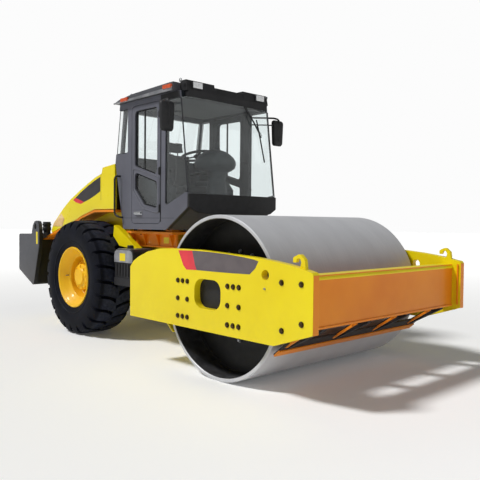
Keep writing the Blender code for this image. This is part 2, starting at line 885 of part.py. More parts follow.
# ---- cab ------------------------------------------------------------------------------------------------
side_in = CAB_Y - SIDE_T
wall_end = side_in - GAP
side_outline = [
    (CAB_BACK, CAB_LOW),
    (NOSE_X, CAB_LOW),
    (CAB_FRONT, NOSE_LOW),
    (CAB_FRONT, SILL_FRONT),
    (CAB_FRONT_TOP, CAB_TOP),
    (CAB_BACK_TOP, CAB_TOP),
    (CAB_BULGE_X, CAB_BULGE_Z),
]
door_hole = [
    (B_PILLAR, DOOR_LOW),
    (A_PILLAR, DOOR_LOW),
    (A_PILLAR, DOOR_HIGH),
    (B_PILLAR, DOOR_HIGH),
]
front_quarter = [(0.50, 1.625), (0.862, 1.770), (0.735, 2.80), (0.50, 2.80)]
rear_quarter = [(-0.255, 2.27), (-0.255, 2.80), (-0.413, 2.80), (-0.488, 2.27)]


def cab_side(name, side):
    low, high = span(side, side_in, CAB_Y)
    panel = prism("cab_side_" + name, side_outline, low, high)
    holes = [
        prism("hole", rounded(door_hole, 0.05, 3), low - 0.1, high + 0.1),
        prism("hole", rounded(front_quarter, 0.03, 3), low - 0.1, high + 0.1),
        prism("hole", rounded(rear_quarter, 0.03, 3), low - 0.1, high + 0.1),
    ]
    return finish(cut(panel, *holes), "grey")


both(cab_side)


def door_axis(side):
    return (A_PILLAR - RUN, side * (CAB_Y + 0.008), 0.0)


def pane(name, side, outline, radius, origin=(0.0, 0.0, 0.0)):
    """Glass that sits in a hole of the same outline, in the middle of the panel's thickness."""
    low, high = span(side, CAB_Y - SIDE_T / 2, CAB_Y - SIDE_T / 2 + GLASS_T)
    return finish(prism(name, inset(rounded(outline, radius, 3), GAP), low, high), "glass", origin)


both(lambda name, side: pane("front_quarter_glass_" + name, side, front_quarter, 0.03))

door_outline = inset(rounded(door_hole, 0.05, 3), RUN)
upper_window = [(-0.105, 2.105), (0.345, 1.975), (0.345, 2.75), (-0.105, 2.75)]
lower_window = [(-0.105, 2.035), (-0.105, 1.84), (0.09, 1.645), (0.345, 1.60), (0.345, 1.905)]


def door(name, side):
    low, high = span(side, side_in, CAB_Y)
    panel = prism("door_" + name, door_outline, low, high)
    holes = [
        prism("hole", rounded(upper_window, 0.05, 3), low - 0.1, high + 0.1),
        prism("hole", rounded(lower_window, 0.04, 3), low - 0.1, high + 0.1),
    ]
    return finish(cut(panel, *holes), "grey", door_axis(side))


both(door)
both(lambda name, side: pane("door_upper_glass_" + name, side, upper_window, 0.05, door_axis(side)))

floor_outline = [
    (-0.298, CAB_LOW),
    (NOSE_X, CAB_LOW),
    (CAB_FRONT - GAP, NOSE_LOW),
    (CAB_FRONT - GAP, NOSE_LOW + 0.06),
    (NOSE_X - 0.02, CAB_LOW + 0.06),
    (-0.298, CAB_LOW + 0.06),
]
finish(prism("cab_floor", floor_outline, -wall_end, wall_end), "grey")


def bowed(name, rows, thickness, low_trim=0.0):
    """A panel that bulges forwards: rows of (x at the edge, z) from the bottom up, low corners cut."""
    steps = 12
    mesh = bmesh.new()
    layers = []
    for back in (0.0, thickness):
        grid = []
        for k, (x, z) in enumerate(rows):
            line = []
            for i in range(steps + 1):
                y = CAB_Y * (2 * i / steps - 1)
                rise = low_trim * max(0.0, (abs(y) / CAB_Y - 0.8) / 0.2) if k == 0 else 0.0
                bulge = BOW * (1 - (y / CAB_Y) ** 2)
                line.append(mesh.verts.new((x + bulge + thickness - back, y, z + rise)))
            grid.append(line)
        layers.append(grid)
    outer, inner_side = layers
    for grid in layers:
        for k in range(len(rows) - 1):
            for i in range(steps):
                mesh.faces.new((grid[k][i], grid[k][i + 1], grid[k + 1][i + 1], grid[k + 1][i]))
    for i in range(steps):
        for k in (0, len(rows) - 1):
            mesh.faces.new((outer[k][i], outer[k][i + 1], inner_side[k][i + 1], inner_side[k][i]))
    for k in range(len(rows) - 1):
        for i in (0, steps):
            mesh.faces.new((outer[k][i], outer[k + 1][i], inner_side[k + 1][i], inner_side[k][i]))
    return from_bmesh(name, mesh)


lean = (CAB_FRONT - CAB_FRONT_TOP) / (CAB_TOP - SILL_FRONT)
finish(
    bowed("cab_front_panel", [(CAB_FRONT + GAP, 1.54), (CAB_FRONT + GAP, SILL_FRONT - GAP)], 0.03, 0.07),
    "dark",
)
finish(
    bowed(
        "windscreen",
        [
            (CAB_FRONT + GAP, SILL_FRONT),
            (CAB_FRONT + GAP - lean * (GLASS_HIGH - SILL_FRONT), GLASS_HIGH),
        ],
        GLASS_T,
    ),
    "glass",
)

wall_outline = [
    (CAB_BACK, CAB_LOW),
    (CAB_BULGE_X, CAB_BULGE_Z),
    (CAB_BACK_TOP, CAB_TOP),
    (CAB_BACK_TOP + 0.05, CAB_TOP),
    (CAB_BULGE_X + 0.052, CAB_BULGE_Z - 0.002),
    (CAB_BACK + 0.0515, CAB_LOW),
]
rear_wall = prism("cab_rear_wall", wall_outline, -wall_end, wall_end)
slope = (CAB_BACK_TOP - CAB_BULGE_X) / (CAB_TOP - CAB_BULGE_Z)


def on_back(z, depth):
    return (CAB_BULGE_X + slope * (z - CAB_BULGE_Z) + depth, z)


bar = turned(
    "hood_hinge",
    [(0.0, -0.45), (HINGE_R, -0.45), (HINGE_R, 0.45), (0.0, 0.45)],
    hinge,
    steps=20,
)
for y in (-0.34, 0.34):
    tab = [
        (HINGE_X - 0.012, HINGE_Z - 0.002),
        (HINGE_X - 0.012, HINGE_Z - 0.050),
        (CAB_BULGE_X + (CAB_BULGE_Z - HINGE_Z + 0.050) / 4.5 + 0.01, HINGE_Z - 0.050),
        (CAB_BULGE_X + (CAB_BULGE_Z - HINGE_Z + 0.026) / 4.5 + 0.01, HINGE_Z - 0.026),
        (HINGE_X + 0.012, HINGE_Z - 0.020),
        (HINGE_X + 0.008, HINGE_Z),
    ]
    bar = join(bar, prism("tab", tab, y - 0.02, y + 0.02))
rear_wall = join(rear_wall, bar)

rear_hole = [on_back(2.25, -0.1), on_back(2.25, 0.15), on_back(2.78, 0.15), on_back(2.78, -0.1)]
finish(cut(rear_wall, prism("hole", rear_hole, -REAR_GLASS_Y, REAR_GLASS_Y)), "grey")
rear_pane = [
    on_back(2.25 + GAP, 0.02),
    on_back(2.25 + GAP, 0.02 + GLASS_T),
    on_back(2.78 - GAP, 0.02 + GLASS_T),
    on_back(2.78 - GAP, 0.02),
]
finish(prism("rear_glass", rear_pane, -REAR_GLASS_Y + GAP, REAR_GLASS_Y - GAP), "glass")

roof_outline = [
    (-0.47, CAB_TOP + GAP),
    (-0.47, 2.890),
    (-0.38, 2.915),
    (-0.10, 2.945),
    (0.60, ROOF_HIGH),
    (ROOF_FRONT, ROOF_HIGH),
    (ROOF_FRONT, CAB_TOP + GAP),
]
roof_y = CAB_Y + ROOF_OVERHANG
finish(prism("cab_roof", roof_outline, -roof_y, roof_y), "dark")


def visor_outline(high):
    """The visor's side view up to a height: its front leans back a little."""
    back = ROOF_FRONT + GAP
    return [(back, CAB_TOP + GAP), (VISOR_FRONT, CAB_TOP + GAP), (VISOR_FRONT - 0.025, high), (back, high)]


# The visor closes the gap over the windscreen and carries a lamp pod at each end.
visor_y = CAB_Y - VISOR_INSET
visor = prism("roof_visor", visor_outline(VISOR_MIDDLE), -visor_y, visor_y)
for side in (-1, 1):
    visor = join(visor, prism("pod", visor_outline(POD_HIGH), *span(side, POD_INNER, visor_y)))
lip_y = wall_end - RUN
visor_x = (ROOF_FRONT + GAP, VISOR_FRONT)
lip = box("visor_lip", visor_x, (-lip_y, lip_y), (GLASS_HIGH + RUN, CAB_TOP + 0.01))
finish(join(visor, lip), "dark")

# ---- inside the cab: seat, steering console and wheel -------------------------------------------------
floor_top = CAB_LOW + 0.06 + GAP
seat_outline = [
    (-0.10, floor_top),
    (0.26, floor_top),
    (0.24, 1.76),
    (0.30, 1.78),
    (0.30, 1.88),
    (-0.13, 1.86),
    (-0.21, 2.46),
    (-0.29, 2.46),
    (-0.23, 1.78),
    (-0.08, 1.76),
]
finish(prism("seat", rounded(seat_outline, 0.02, 2), -0.24, 0.24), "fabric")
console_outline = [
    (0.50, floor_top + 0.03),
    (0.66, floor_top + 0.13),
    (0.66, 2.02),
    (0.76, 2.06),
    (0.83, 2.12),
    (0.80, 2.20),
    (0.72, 2.27),
    (0.63, 2.31),
    (0.56, 2.31),
    (0.505, 2.27),
    (0.48, 2.21),
    (0.44, 2.195),
    CONSOLE_TOP[1],
    CONSOLE_TOP[0],
    (0.22, 2.10),
    (0.50, 2.04),
    (0.54, 2.00),
    (0.50, 1.90),
]
console = prism("steering_console", console_outline, -0.11, 0.11)
foot = box("foot", (0.38, 0.485), (-0.12, 0.12), (floor_top, floor_top + 0.08))
column = box("column", (0.38, 0.52), (-0.06, 0.06), (floor_top + 0.02, floor_top + 0.12))
finish(join(console, foot, column), "dark")

wheel = turned(
    "steering_wheel",
    [(0.19 + 0.015 * math.cos(a), 0.015 * math.sin(a)) for a in [math.radians(45 * k) for k in range(8)]],
    (0.0, 0.0, 0.0),
    axis="Z",
    steps=40,
    closed=True,
)
for angle in (90, 210, 330):
    spoke = box("spoke", (0.0, 0.19), (-0.015, 0.015), (-0.008, 0.004))
    spoke.rotation_euler = (0.0, 0.0, math.radians(angle))
    wheel = join(wheel, settled(spoke))
boss_profile = [(0.0, -WHEEL_STEM), (0.030, -WHEEL_STEM), (0.045, 0.01), (0.0, 0.01)]
boss = turned("boss", boss_profile, (0.0, 0.0, 0.0), axis="Z", steps=20)
wheel = join(wheel, boss)
near, far = (Vector(corner) for corner in CONSOLE_TOP)
tilt = math.atan2(far.y - near.y, far.x - near.x)
seat_of_wheel = (near + far) / 2 + Vector((-math.sin(tilt), math.cos(tilt))) * (WHEEL_STEM + GAP)
wheel.rotation_euler = (0.0, -tilt, 0.0)
wheel.location = (seat_of_wheel.x, 0.0, seat_of_wheel.y)
finish(settled(wheel), "dark")

# ---- mirrors and handrails ----------------------------------------------------------------------------


def mirror(name, side):
    """A mirror on a bent tube that is fixed to the A pillar."""
    out = CAB_Y + MIRROR_OUT
    arm = tube(
        "mirror_" + name,
        [
            (0.455, side * (CAB_Y + GAP), 2.78),
            (0.455, side * (CAB_Y + 0.05), 2.78),
            (0.74, side * (out - 0.025), 2.755),
            (0.80, side * out, MIRROR_HIGH + 0.01),
            (0.80, side * out, MIRROR_LOW + 0.06),
        ],
        0.011,
        2,
    )
    corners = [(y, z) for y, z in ((-1, MIRROR_LOW), (1, MIRROR_LOW), (1, MIRROR_HIGH), (-1, MIRROR_HIGH))]
    corners = [(y * MIRROR_HALF, z) for y, z in corners]
    outline = rounded(corners, 0.03, 3)
    low, high = (0.795, 0.845)
    body = prism("body", [(side * out + y, z) for y, z in outline], low, high, axis="X")
    return finish(join(arm, body), "dark")


both(mirror)


def handrail(name, side):
    y_wall = side * (CAB_Y + GAP)
    y_rail = side * (CAB_Y + RAIL_OUT)
    return finish(
        tube(
            "handrail_" + name,
            [
                (-0.42, y_wall, 2.00),
                (-0.42, side * (CAB_Y + 0.045), 2.00),
                (-0.435, y_rail, 1.975),
                (-0.435, y_rail, 1.535),
                (-0.362, side * (CAB_Y + 0.045), 1.50),
                (-0.362, y_wall, 1.50),
            ],
            0.012,
            2,
        ),
        "dark",
    )


both(handrail)

for extra in list(helpers.objects):
    bpy.data.objects.remove(extra, do_unlink=True)
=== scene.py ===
"""Looks of the single-drum road roller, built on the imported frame. Metres, +X towards the drum, +Z up."""
import json
import math

import bmesh
import bpy
from mathutils import Matrix, Vector

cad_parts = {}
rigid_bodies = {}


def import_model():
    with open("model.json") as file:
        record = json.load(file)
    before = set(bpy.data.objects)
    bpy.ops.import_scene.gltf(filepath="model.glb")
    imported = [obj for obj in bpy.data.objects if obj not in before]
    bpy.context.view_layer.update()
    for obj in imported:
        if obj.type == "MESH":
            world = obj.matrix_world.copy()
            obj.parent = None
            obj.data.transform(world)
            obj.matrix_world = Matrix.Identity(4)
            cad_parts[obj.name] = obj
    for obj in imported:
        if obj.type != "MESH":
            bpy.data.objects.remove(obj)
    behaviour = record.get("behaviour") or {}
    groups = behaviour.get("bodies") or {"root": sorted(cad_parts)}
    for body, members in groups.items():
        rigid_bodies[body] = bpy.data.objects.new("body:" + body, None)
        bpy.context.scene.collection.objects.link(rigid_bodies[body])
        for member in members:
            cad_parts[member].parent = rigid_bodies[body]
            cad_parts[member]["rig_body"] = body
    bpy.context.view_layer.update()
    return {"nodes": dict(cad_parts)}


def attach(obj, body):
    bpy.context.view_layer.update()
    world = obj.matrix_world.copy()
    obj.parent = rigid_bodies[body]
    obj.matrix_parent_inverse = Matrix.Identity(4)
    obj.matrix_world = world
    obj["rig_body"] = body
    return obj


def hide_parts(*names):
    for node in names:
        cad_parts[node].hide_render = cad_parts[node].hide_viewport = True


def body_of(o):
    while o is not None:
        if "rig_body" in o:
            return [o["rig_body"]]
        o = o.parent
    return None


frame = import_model()


# ---- Camera, floor and light ------------------------------------------------------------------
# A pale studio floor under a broad key light from the machine's right rear, with a soft fill all
# round. The camera stands ahead and to the right at eye height, on a lens of normal length.
scene = bpy.context.scene
eye = Vector((5.928, -4.643, 1.451))
turn, dip, roll = math.radians(46.64), math.radians(-1.677), math.radians(0.541)
ahead = Vector((-math.sin(turn) * math.cos(dip), math.cos(turn) * math.cos(dip), math.sin(dip)))
level = Vector((math.cos(turn), math.sin(turn), 0.0))
above = level.cross(ahead)
across = level * math.cos(roll) + above * math.sin(roll)
upright = above * math.cos(roll) - level * math.sin(roll)
camera = bpy.data.objects.new("camera", bpy.data.cameras.new("camera"))
camera.data.sensor_width = 36.0
camera.data.lens = 44.96
camera.data.clip_end = 300.0
camera.matrix_world = Matrix.Translation(eye) @ Matrix((across, upright, -ahead)).transposed().to_4x4()
scene.collection.objects.link(camera)
scene.camera = camera
scene.view_settings.view_transform = "Standard"


def linear(code):
    """An sRGB hex colour as linear red, green, blue and alpha."""
    parts = [int(code[i:i + 2], 16) / 255 for i in (1, 3, 5)]
    return (*[c / 12.92 if c <= 0.04045 else ((c + 0.055) / 1.055) ** 2.4 for c in parts], 1.0)


def add(tree, kind, inputs=None, **settings):
    """A node with its settings. An input is a value, or the socket that feeds it."""
    node = tree.nodes.new(kind)
    for key, value in settings.items():
        setattr(node, key, value)
    for key, value in (inputs or {}).items():
        if isinstance(value, bpy.types.NodeSocket):
            tree.links.new(value, node.inputs[key])
        else:
            node.inputs[key].default_value = value
    return node


floor_mesh = bpy.data.meshes.new("floor")
floor_mesh.from_pydata([(-90, -90, 0), (90, -90, 0), (90, 90, 0), (-90, 90, 0)], [], [(0, 1, 2, 3)])
floor = bpy.data.objects.new("floor", floor_mesh)
scene.collection.objects.link(floor)
matt_paper = bpy.data.materials.new("matt_paper_floor")
matt_paper.use_nodes = True
matt_paper.node_tree.nodes["Principled BSDF"].inputs["Base Color"].default_value = linear("#F9F9F8")
matt_paper.node_tree.nodes["Principled BSDF"].inputs["Roughness"].default_value = 0.9
matt_paper.node_tree.nodes["Principled BSDF"].inputs["Emission Color"].default_value = linear("#FFFFFF")
tree = matt_paper.node_tree

# The paper glows more with distance, so that it meets the sky without an edge.
from_middle = add(tree, "ShaderNodeVectorMath", {0: add(tree, "ShaderNodeTexCoord").outputs["Object"]},
                  operation="LENGTH")
glow = add(tree, "ShaderNodeMapRange", {0: from_middle.outputs["Value"], 1: 4.0, 2: 14.0, 3: 0.04, 4: 0.30})
tree.links.new(glow.outputs[0], tree.nodes["Principled BSDF"].inputs["Emission Strength"])
floor_mesh.materials.append(matt_paper)

sky = bpy.data.worlds.new("studio")
scene.world = sky
sky.use_nodes = True
tree = sky.node_tree
tree.nodes["Background"].inputs["Color"].default_value = linear("#FCFCFC")

# The sky is white to the camera and straight through glass, but weaker as a reflection and as light.
rays = add(tree, "ShaderNodeLightPath").outputs
straight = add(tree, "ShaderNodeMath", {0: rays["Diffuse Depth"], 1: 0.5}, operation="LESS_THAN")
through = add(tree, "ShaderNodeMath", {0: rays["Is Transmission Ray"], 1: straight.outputs[0]}, operation="MULTIPLY")
in_view = add(tree, "ShaderNodeMath", {0: rays["Is Camera Ray"], 1: through.outputs[0]}, operation="MAXIMUM")
in_gloss = add(tree, "ShaderNodeMath", {0: rays["Is Glossy Ray"], 1: 0.36}, operation="MULTIPLY")
brightest = add(tree, "ShaderNodeMath", {0: in_view.outputs[0], 1: in_gloss.outputs[0]}, operation="MAXIMUM")
strength = add(tree, "ShaderNodeMath", {0: brightest.outputs[0], 1: 0.14}, operation="MAXIMUM")
tree.links.new(strength.outputs[0], tree.nodes["Background"].inputs["Strength"])


def lamp(name, kind, place, aim, energy, size):
    light = bpy.data.lights.new(name, kind)
    light.energy = energy
    if kind == "AREA":
        light.size = size
    else:
        light.angle = size
    obj = bpy.data.objects.new(name, light)
    obj.location = place
    obj.rotation_euler = (Vector(aim) - Vector(place)).to_track_quat("-Z", "Y").to_euler()
    scene.collection.objects.link(obj)


lamp("key", "SUN", (-3.4, -5.4, 7.7), (0, 0, 0), 2.75, math.radians(9))
lamp("soft_front", "AREA", (9.5, -2.0, 3.5), (1.0, 0, 0.9), 70, 5.0)


# ---- Drum ---------------------------------------------------------------------------------------
# A rolled and welded steel shell, worn bright by the ground, with black painted end discs set in
# from its edges and a ring of bolts where the discs carry the exciter's bearings.
DRUM_AT = (1.84, 0.0, 0.76)
DRUM_R, DRUM_IN, DRUM_HALF, DISC_Y = 0.76, 0.725, 1.05, 0.78


def material(name, code, rough=0.5, metal=0.0, coat=0.0, ior=1.45):
    """A Principled material to build on, and its tree, shader and Object coordinates."""
    made = bpy.data.materials.new(name)
    made.use_nodes = True
    tree = made.node_tree
    shader = tree.nodes["Principled BSDF"]
    shader.inputs["Base Color"].default_value = linear(code)
    shader.inputs["Roughness"].default_value = rough
    shader.inputs["Metallic"].default_value = metal
    shader.inputs["Coat Weight"].default_value = coat
    shader.inputs["Coat Roughness"].default_value = 0.12
    if not metal:
        shader.inputs["IOR"].default_value = ior
    return made, tree, shader, add(tree, "ShaderNodeTexCoord").outputs["Object"]


def speckle(tree, where, per_metre, detail=4.0, stretch=(1, 1, 1)):
    """Noise at a real scale, stretched along the axes it is divided by."""
    spread = add(tree, "ShaderNodeMapping", {0: where, 3: stretch})
    return add(tree, "ShaderNodeTexNoise", {"Vector": spread.outputs[0], "Scale": per_metre, "Detail": detail})


def blended(tree, factor, low, high, from_low=0.35, from_high=0.65):
    """A colour that goes from low to high as a pattern rises."""
    ramp = add(tree, "ShaderNodeValToRGB", {0: factor})
    ramp.color_ramp.elements[0].position = from_low
    ramp.color_ramp.elements[0].color = linear(low)
    ramp.color_ramp.elements[1].position = from_high
    ramp.color_ramp.elements[1].color = linear(high)
    return ramp.outputs[0]


def tinted(tree, shader, pattern, low, high, *stops):
    """The base colour goes from low to high as a pattern rises."""
    tree.links.new(blended(tree, pattern, low, high, *stops), shader.inputs["Base Color"])


def raised(tree, shader, height, depth, strength=0.5):
    """Relief from a pattern: depth is its real height in metres."""
    bump = add(tree, "ShaderNodeBump", {"Height": height, "Distance": depth, "Strength": strength})
    tree.links.new(bump.outputs[0], shader.inputs["Normal"])


# Mild steel plate, ground smooth by soil: streaks run round the drum, with broad darker bands where
# it is less worn. The inner wall, told by its distance from the axis, is painted nearly black: painted shade inside
# the drum.
worn_steel_shaded_inside, tree, shader, where = material("worn_drum_steel", "#C2C3C6", 0.42, 0.12)
streaks = speckle(tree, where, 9.0, 8.0, (0.5, 28.0, 0.5))
bands = speckle(tree, where, 1.6, 3.0, (1.0, 2.2, 1.0))
both_ways = add(tree, "ShaderNodeMath", {0: streaks.outputs[0], 1: bands.outputs[0]}, operation="MULTIPLY")
outer_colour = blended(tree, both_ways.outputs[0], "#BBBCC0", "#CCCDD0", 0.12, 0.42)
offset = add(tree, "ShaderNodeVectorMath", {0: where, 1: DRUM_AT}, operation="SUBTRACT")
offset = add(tree, "ShaderNodeVectorMath", {0: offset.outputs[0], 1: (1, 0, 1)}, operation="MULTIPLY")
from_axis = add(tree, "ShaderNodeVectorMath", {0: offset.outputs[0]}, operation="LENGTH")
outside = add(tree, "ShaderNodeMapRange", {0: from_axis.outputs["Value"], 1: 0.7255, 2: 0.7275})
inner_painted_shade = blended(tree, speckle(tree, where, 14.0, 8.0).outputs[0], "#2A2A2C", "#47474A")
shell_colour = add(tree, "ShaderNodeMix", {0: outside.outputs[0], 6: inner_painted_shade, 7: outer_colour}, data_type="RGBA")
tree.links.new(shell_colour.outputs[2], shader.inputs["Base Color"])
rough = add(tree, "ShaderNodeMapRange", {0: streaks.outputs[0], 3: 0.36, 4: 0.55})
tree.links.new(rough.outputs[0], shader.inputs["Roughness"])
raised(tree, shader, streaks.outputs[0], 0.0004, 0.2)

# Black chassis paint: a thin satin coat with faint dust.
black_paint, tree, shader, where = material("black_chassis_paint", "#0C0C0E", 0.55, 0.0, 0.0)
dust = speckle(tree, where, 14.0, 6.0)
tinted(tree, shader, dust.outputs[0], "#0C0C0D", "#18181A")
raised(tree, shader, speckle(tree, where, 420.0, 2.0).outputs[0], 0.0003, 0.3)


def shape(name, mesh, smooth=35.0):
    """A bmesh as an object of the scene, its faces pointing outwards and its edges sharp past an angle."""
    bmesh.ops.remove_doubles(mesh, verts=mesh.verts, dist=0.00002)
    bmesh.ops.recalc_face_normals(mesh, faces=mesh.faces)
    data = bpy.data.meshes.new(name)
    mesh.to_mesh(data)
    mesh.free()
    data.shade_smooth()
    data.set_sharp_from_angle(angle=math.radians(smooth))
    obj = bpy.data.objects.new(name, data)
    scene.collection.objects.link(obj)
    return obj


def lathed(name, profile, centre, axis="Y", steps=64, closed=True):
    """A ring or disc: (radius, along) points turned about an axis through centre."""
    put = {"X": lambda r, t, c, s: (t, r * c, r * s), "Y": lambda r, t, c, s: (r * c, t, r * s),
           "Z": lambda r, t, c, s: (r * c, r * s, t)}[axis]
    mesh = bmesh.new()
    rings = []
    for k in range(steps):
        c, s = math.cos(2 * math.pi * k / steps), math.sin(2 * math.pi * k / steps)
        rings.append([mesh.verts.new(Vector(put(r, t, c, s)) + Vector(centre)) for r, t in profile])
    count = len(profile)
    for k in range(steps):
        a, b = rings[k], rings[(k + 1) % steps]
        for i in range(count if closed else count - 1):
            j = (i + 1) % count
            if profile[i][0] < 1e-6 and profile[j][0] < 1e-6:
                continue
            mesh.faces.new((a[i], a[j], b[j], b[i]))
    bmesh.ops.remove_doubles(mesh, verts=mesh.verts, dist=0.00001)
    bmesh.ops.dissolve_degenerate(mesh, dist=0.00001, edges=mesh.edges)
    return shape(name, mesh)


def mirrored(side):
    return "right" if side < 0 else "left"


def set_on(obj, body, paint, *nodes, slot=None):
    """Gives a piece its material, its body and the CAD nodes it stands for."""
    if paint is not None:
        obj.data.materials.clear()
        obj.data.materials.append(paint)
    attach(obj, body)
    if nodes:
        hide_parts(*nodes)
    return obj


edge = 0.006
shell = [(DRUM_R - edge, -DRUM_HALF), (DRUM_R, -DRUM_HALF + edge), (DRUM_R, -0.5), (DRUM_R, 0.5),
         (DRUM_R, DRUM_HALF - edge), (DRUM_R - edge, DRUM_HALF), (DRUM_IN + edge, DRUM_HALF),
         (DRUM_IN, DRUM_HALF - edge), (DRUM_IN, -DRUM_HALF + edge), (DRUM_IN + edge, -DRUM_HALF)]
set_on(lathed("drum_shell", shell, DRUM_AT, steps=180), "drum", worn_steel_shaded_inside, "drum", slot="steel")
for side in (-1, 1):
    disc = [(DRUM_IN, DISC_Y - 0.03), (DRUM_IN, DISC_Y + 0.012), (DRUM_IN - 0.012, DISC_Y), (0.52, DISC_Y),
            (0.50, DISC_Y - 0.008), (0.34, DISC_Y - 0.008), (0.31, DISC_Y), (0.30, DISC_Y + 0.004),
            (0.28, DISC_Y + 0.03), (0.0, DISC_Y + 0.03), (0.0, DISC_Y - 0.03)]
    name = mirrored(side)
    set_on(lathed("drum_disc_" + name, [(r, side * t) for r, t in disc], DRUM_AT, steps=120), "drum", black_paint)

# A tree that repeats its own geometry: each copy is turned about a centre and moved on by a step.
repeat = bpy.data.node_groups.new("repeat", "GeometryNodeTree")
for socket, kind in (("Geometry", "Geometry"), ("Copies", "Int"), ("Turn", "Vector"), ("Centre", "Vector"),
                     ("Step", "Vector"), ("Paint", "Material")):
    repeat.interface.new_socket(socket, in_out="INPUT", socket_type="NodeSocket" + kind)
repeat.interface.new_socket("Geometry", in_out="OUTPUT", socket_type="NodeSocketGeometry")
given = add(repeat, "NodeGroupInput").outputs
single = add(repeat, "GeometryNodeGeometryToInstance", {0: given["Geometry"]})
copies = add(repeat, "GeometryNodeDuplicateElements", {0: single.outputs[0], 2: given["Copies"]}, domain="INSTANCE")
turned_by = add(repeat, "ShaderNodeVectorMath", {0: given["Turn"], 3: copies.outputs[1]}, operation="SCALE")
moved_by = add(repeat, "ShaderNodeVectorMath", {0: given["Step"], 3: copies.outputs[1]}, operation="SCALE")
turned = add(repeat, "GeometryNodeRotateInstances", {0: copies.outputs[0], 2: turned_by.outputs[0],
                                                     3: given["Centre"]})
turned.inputs[4].default_value = False
moved = add(repeat, "GeometryNodeTranslateInstances", {0: turned.outputs[0], 2: moved_by.outputs[0]})
moved.inputs[3].default_value = False
real = add(repeat, "GeometryNodeRealizeInstances", {0: moved.outputs[0]})
painted = add(repeat, "GeometryNodeSetMaterial", {0: real.outputs[0], 2: given["Paint"]})
add(repeat, "NodeGroupOutput", {0: painted.outputs[0]})


def evaluated(obj):
    """The mesh an object has once its modifiers have run."""
    return bpy.data.meshes.new_from_object(obj.evaluated_get(bpy.context.evaluated_depsgraph_get()))


def baked(obj, tree, **values):
    """Runs a node tree on an object with its named inputs and keeps the result as a plain mesh."""
    step = obj.modifiers.new("nodes", "NODES")
    step.node_group = tree
    for item in tree.interface.items_tree:
        key = item.name.replace(" ", "_")
        if item.in_out == "INPUT" and key in values:
            step[item.identifier] = values[key]
    obj.update_tag()
    bpy.context.view_layer.update()
    data = evaluated(obj)
    obj.modifiers.clear()
    old, obj.data = obj.data, data
    bpy.data.meshes.remove(old)
    data.set_sharp_from_angle(angle=math.radians(35))
    return obj


def merged(first, *others):
    """One mesh of several pieces that share a body."""
    mesh = bmesh.new()
    for obj in (first, *others):
        mesh.from_mesh(obj.data)
    for obj in others:
        bpy.data.objects.remove(obj, do_unlink=True)
    mesh.to_mesh(first.data)
    mesh.free()
    first.data.set_sharp_from_angle(angle=math.radians(35))
    return first


def joined(name, pieces):
    """Several pieces of one body as one piece with a name."""
    whole = merged(*pieces)
    whole.name = name
    return whole


def hexagon(name, centre, axis, across, high):
    """A bolt head on its washer, standing along an axis (a unit vector with one non-zero entry)."""
    along = "XYZ"[[abs(v) > 0.5 for v in axis].index(True)]
    sign = sum(axis)
    washer = [(0.0, 0.0), (across * 0.72, 0.0), (across * 0.72, high * 0.22), (0.0, high * 0.22)]
    head = [(0.0, high * 0.22), (across / math.sqrt(3), high * 0.22), (across / math.sqrt(3), high * 0.85),
            (across * 0.46, high), (0.0, high)]
    first = lathed(name, [(r, sign * t) for r, t in washer], centre, along, 16)
    second = lathed(name + "_head", [(r, sign * t) for r, t in head], centre, along, 6)
    return merged(first, second)


# Zinc-plated steel screws: dull silver, a little blotched.
zinc, tree, shader, where = material("zinc_plated_steel", "#8E9092", 0.38, 0.85)
tinted(tree, shader, speckle(tree, where, 90.0).outputs[0], "#7B7D80", "#A2A4A6")

for side in (-1, 1):
    name = mirrored(side)
    start = (DRUM_AT[0] + 0.42, side * (DISC_Y - 0.0078), DRUM_AT[2])
    bolt = hexagon("drum_disc_bolts_" + name, start, (0, side, 0), 0.030, 0.022)
    baked(bolt, repeat, Copies=16, Turn=(0, 2 * math.pi / 16, 0), Centre=DRUM_AT, Step=(0, 0, 0), Paint=zinc)
    set_on(bolt, "drum", None, slot="steel")


# ---- Front frame --------------------------------------------------------------------------------
# Two thick flame-cut side plates in glossy yellow, joined by a folded beam ahead of the drum, in orange that is
# painted shade of the yellow, and a yellow box beam behind. The plates carry bolted drum mounts, hooks and a blank
# flash.


def enamel(name, code, light, shade, rough=0.34, coat=0.15):
    """Sprayed machine enamel: faint cloudy colour, an orange-peel skin of about 3 mm and dusty low edges."""
    made, tree, shader, where = material(name, code, rough, 0.0, coat)
    shader.inputs["Specular IOR Level"].default_value = 0.25
    cloud = speckle(tree, where, 2.2, 5.0)
    body = blended(tree, cloud.outputs[0], shade, light, 0.3, 0.7)
    grime = speckle(tree, where, 22.0, 9.0)
    low = add(tree, "ShaderNodeSeparateXYZ", {0: where})
    near_ground = add(tree, "ShaderNodeMapRange", {0: low.outputs[2], 1: 0.25, 2: 0.95, 3: 0.20, 4: 0.0})
    amount = add(tree, "ShaderNodeMath", {0: near_ground.outputs[0], 1: grime.outputs[0]}, operation="MULTIPLY")
    mixed = add(tree, "ShaderNodeMix", {0: amount.outputs[0], 6: body, 7: linear("#8B7C5E")}, data_type="RGBA")
    tree.links.new(mixed.outputs[2], shader.inputs["Base Color"])
    worn = add(tree, "ShaderNodeMapRange", {0: grime.outputs[0], 3: rough - 0.06, 4: rough + 0.10})
    tree.links.new(worn.outputs[0], shader.inputs["Roughness"])
    raised(tree, shader, speckle(tree, where, 330.0, 2.0).outputs[0], 0.0002, 0.18)
    return made


yellow = enamel("yellow_machine_enamel", "#EDD70E", "#EFDA10", "#E8D00A")
# The orange enamel is painted shade: yellow enamel as it looks in shade, used on the front beam, plate ends, hangers,
# scraper strip, fenders, gussets and cab platform.
orange = enamel("deep_orange_enamel", "#EC8A14", "#EF8F18", "#E5800F", 0.38, 0.08)


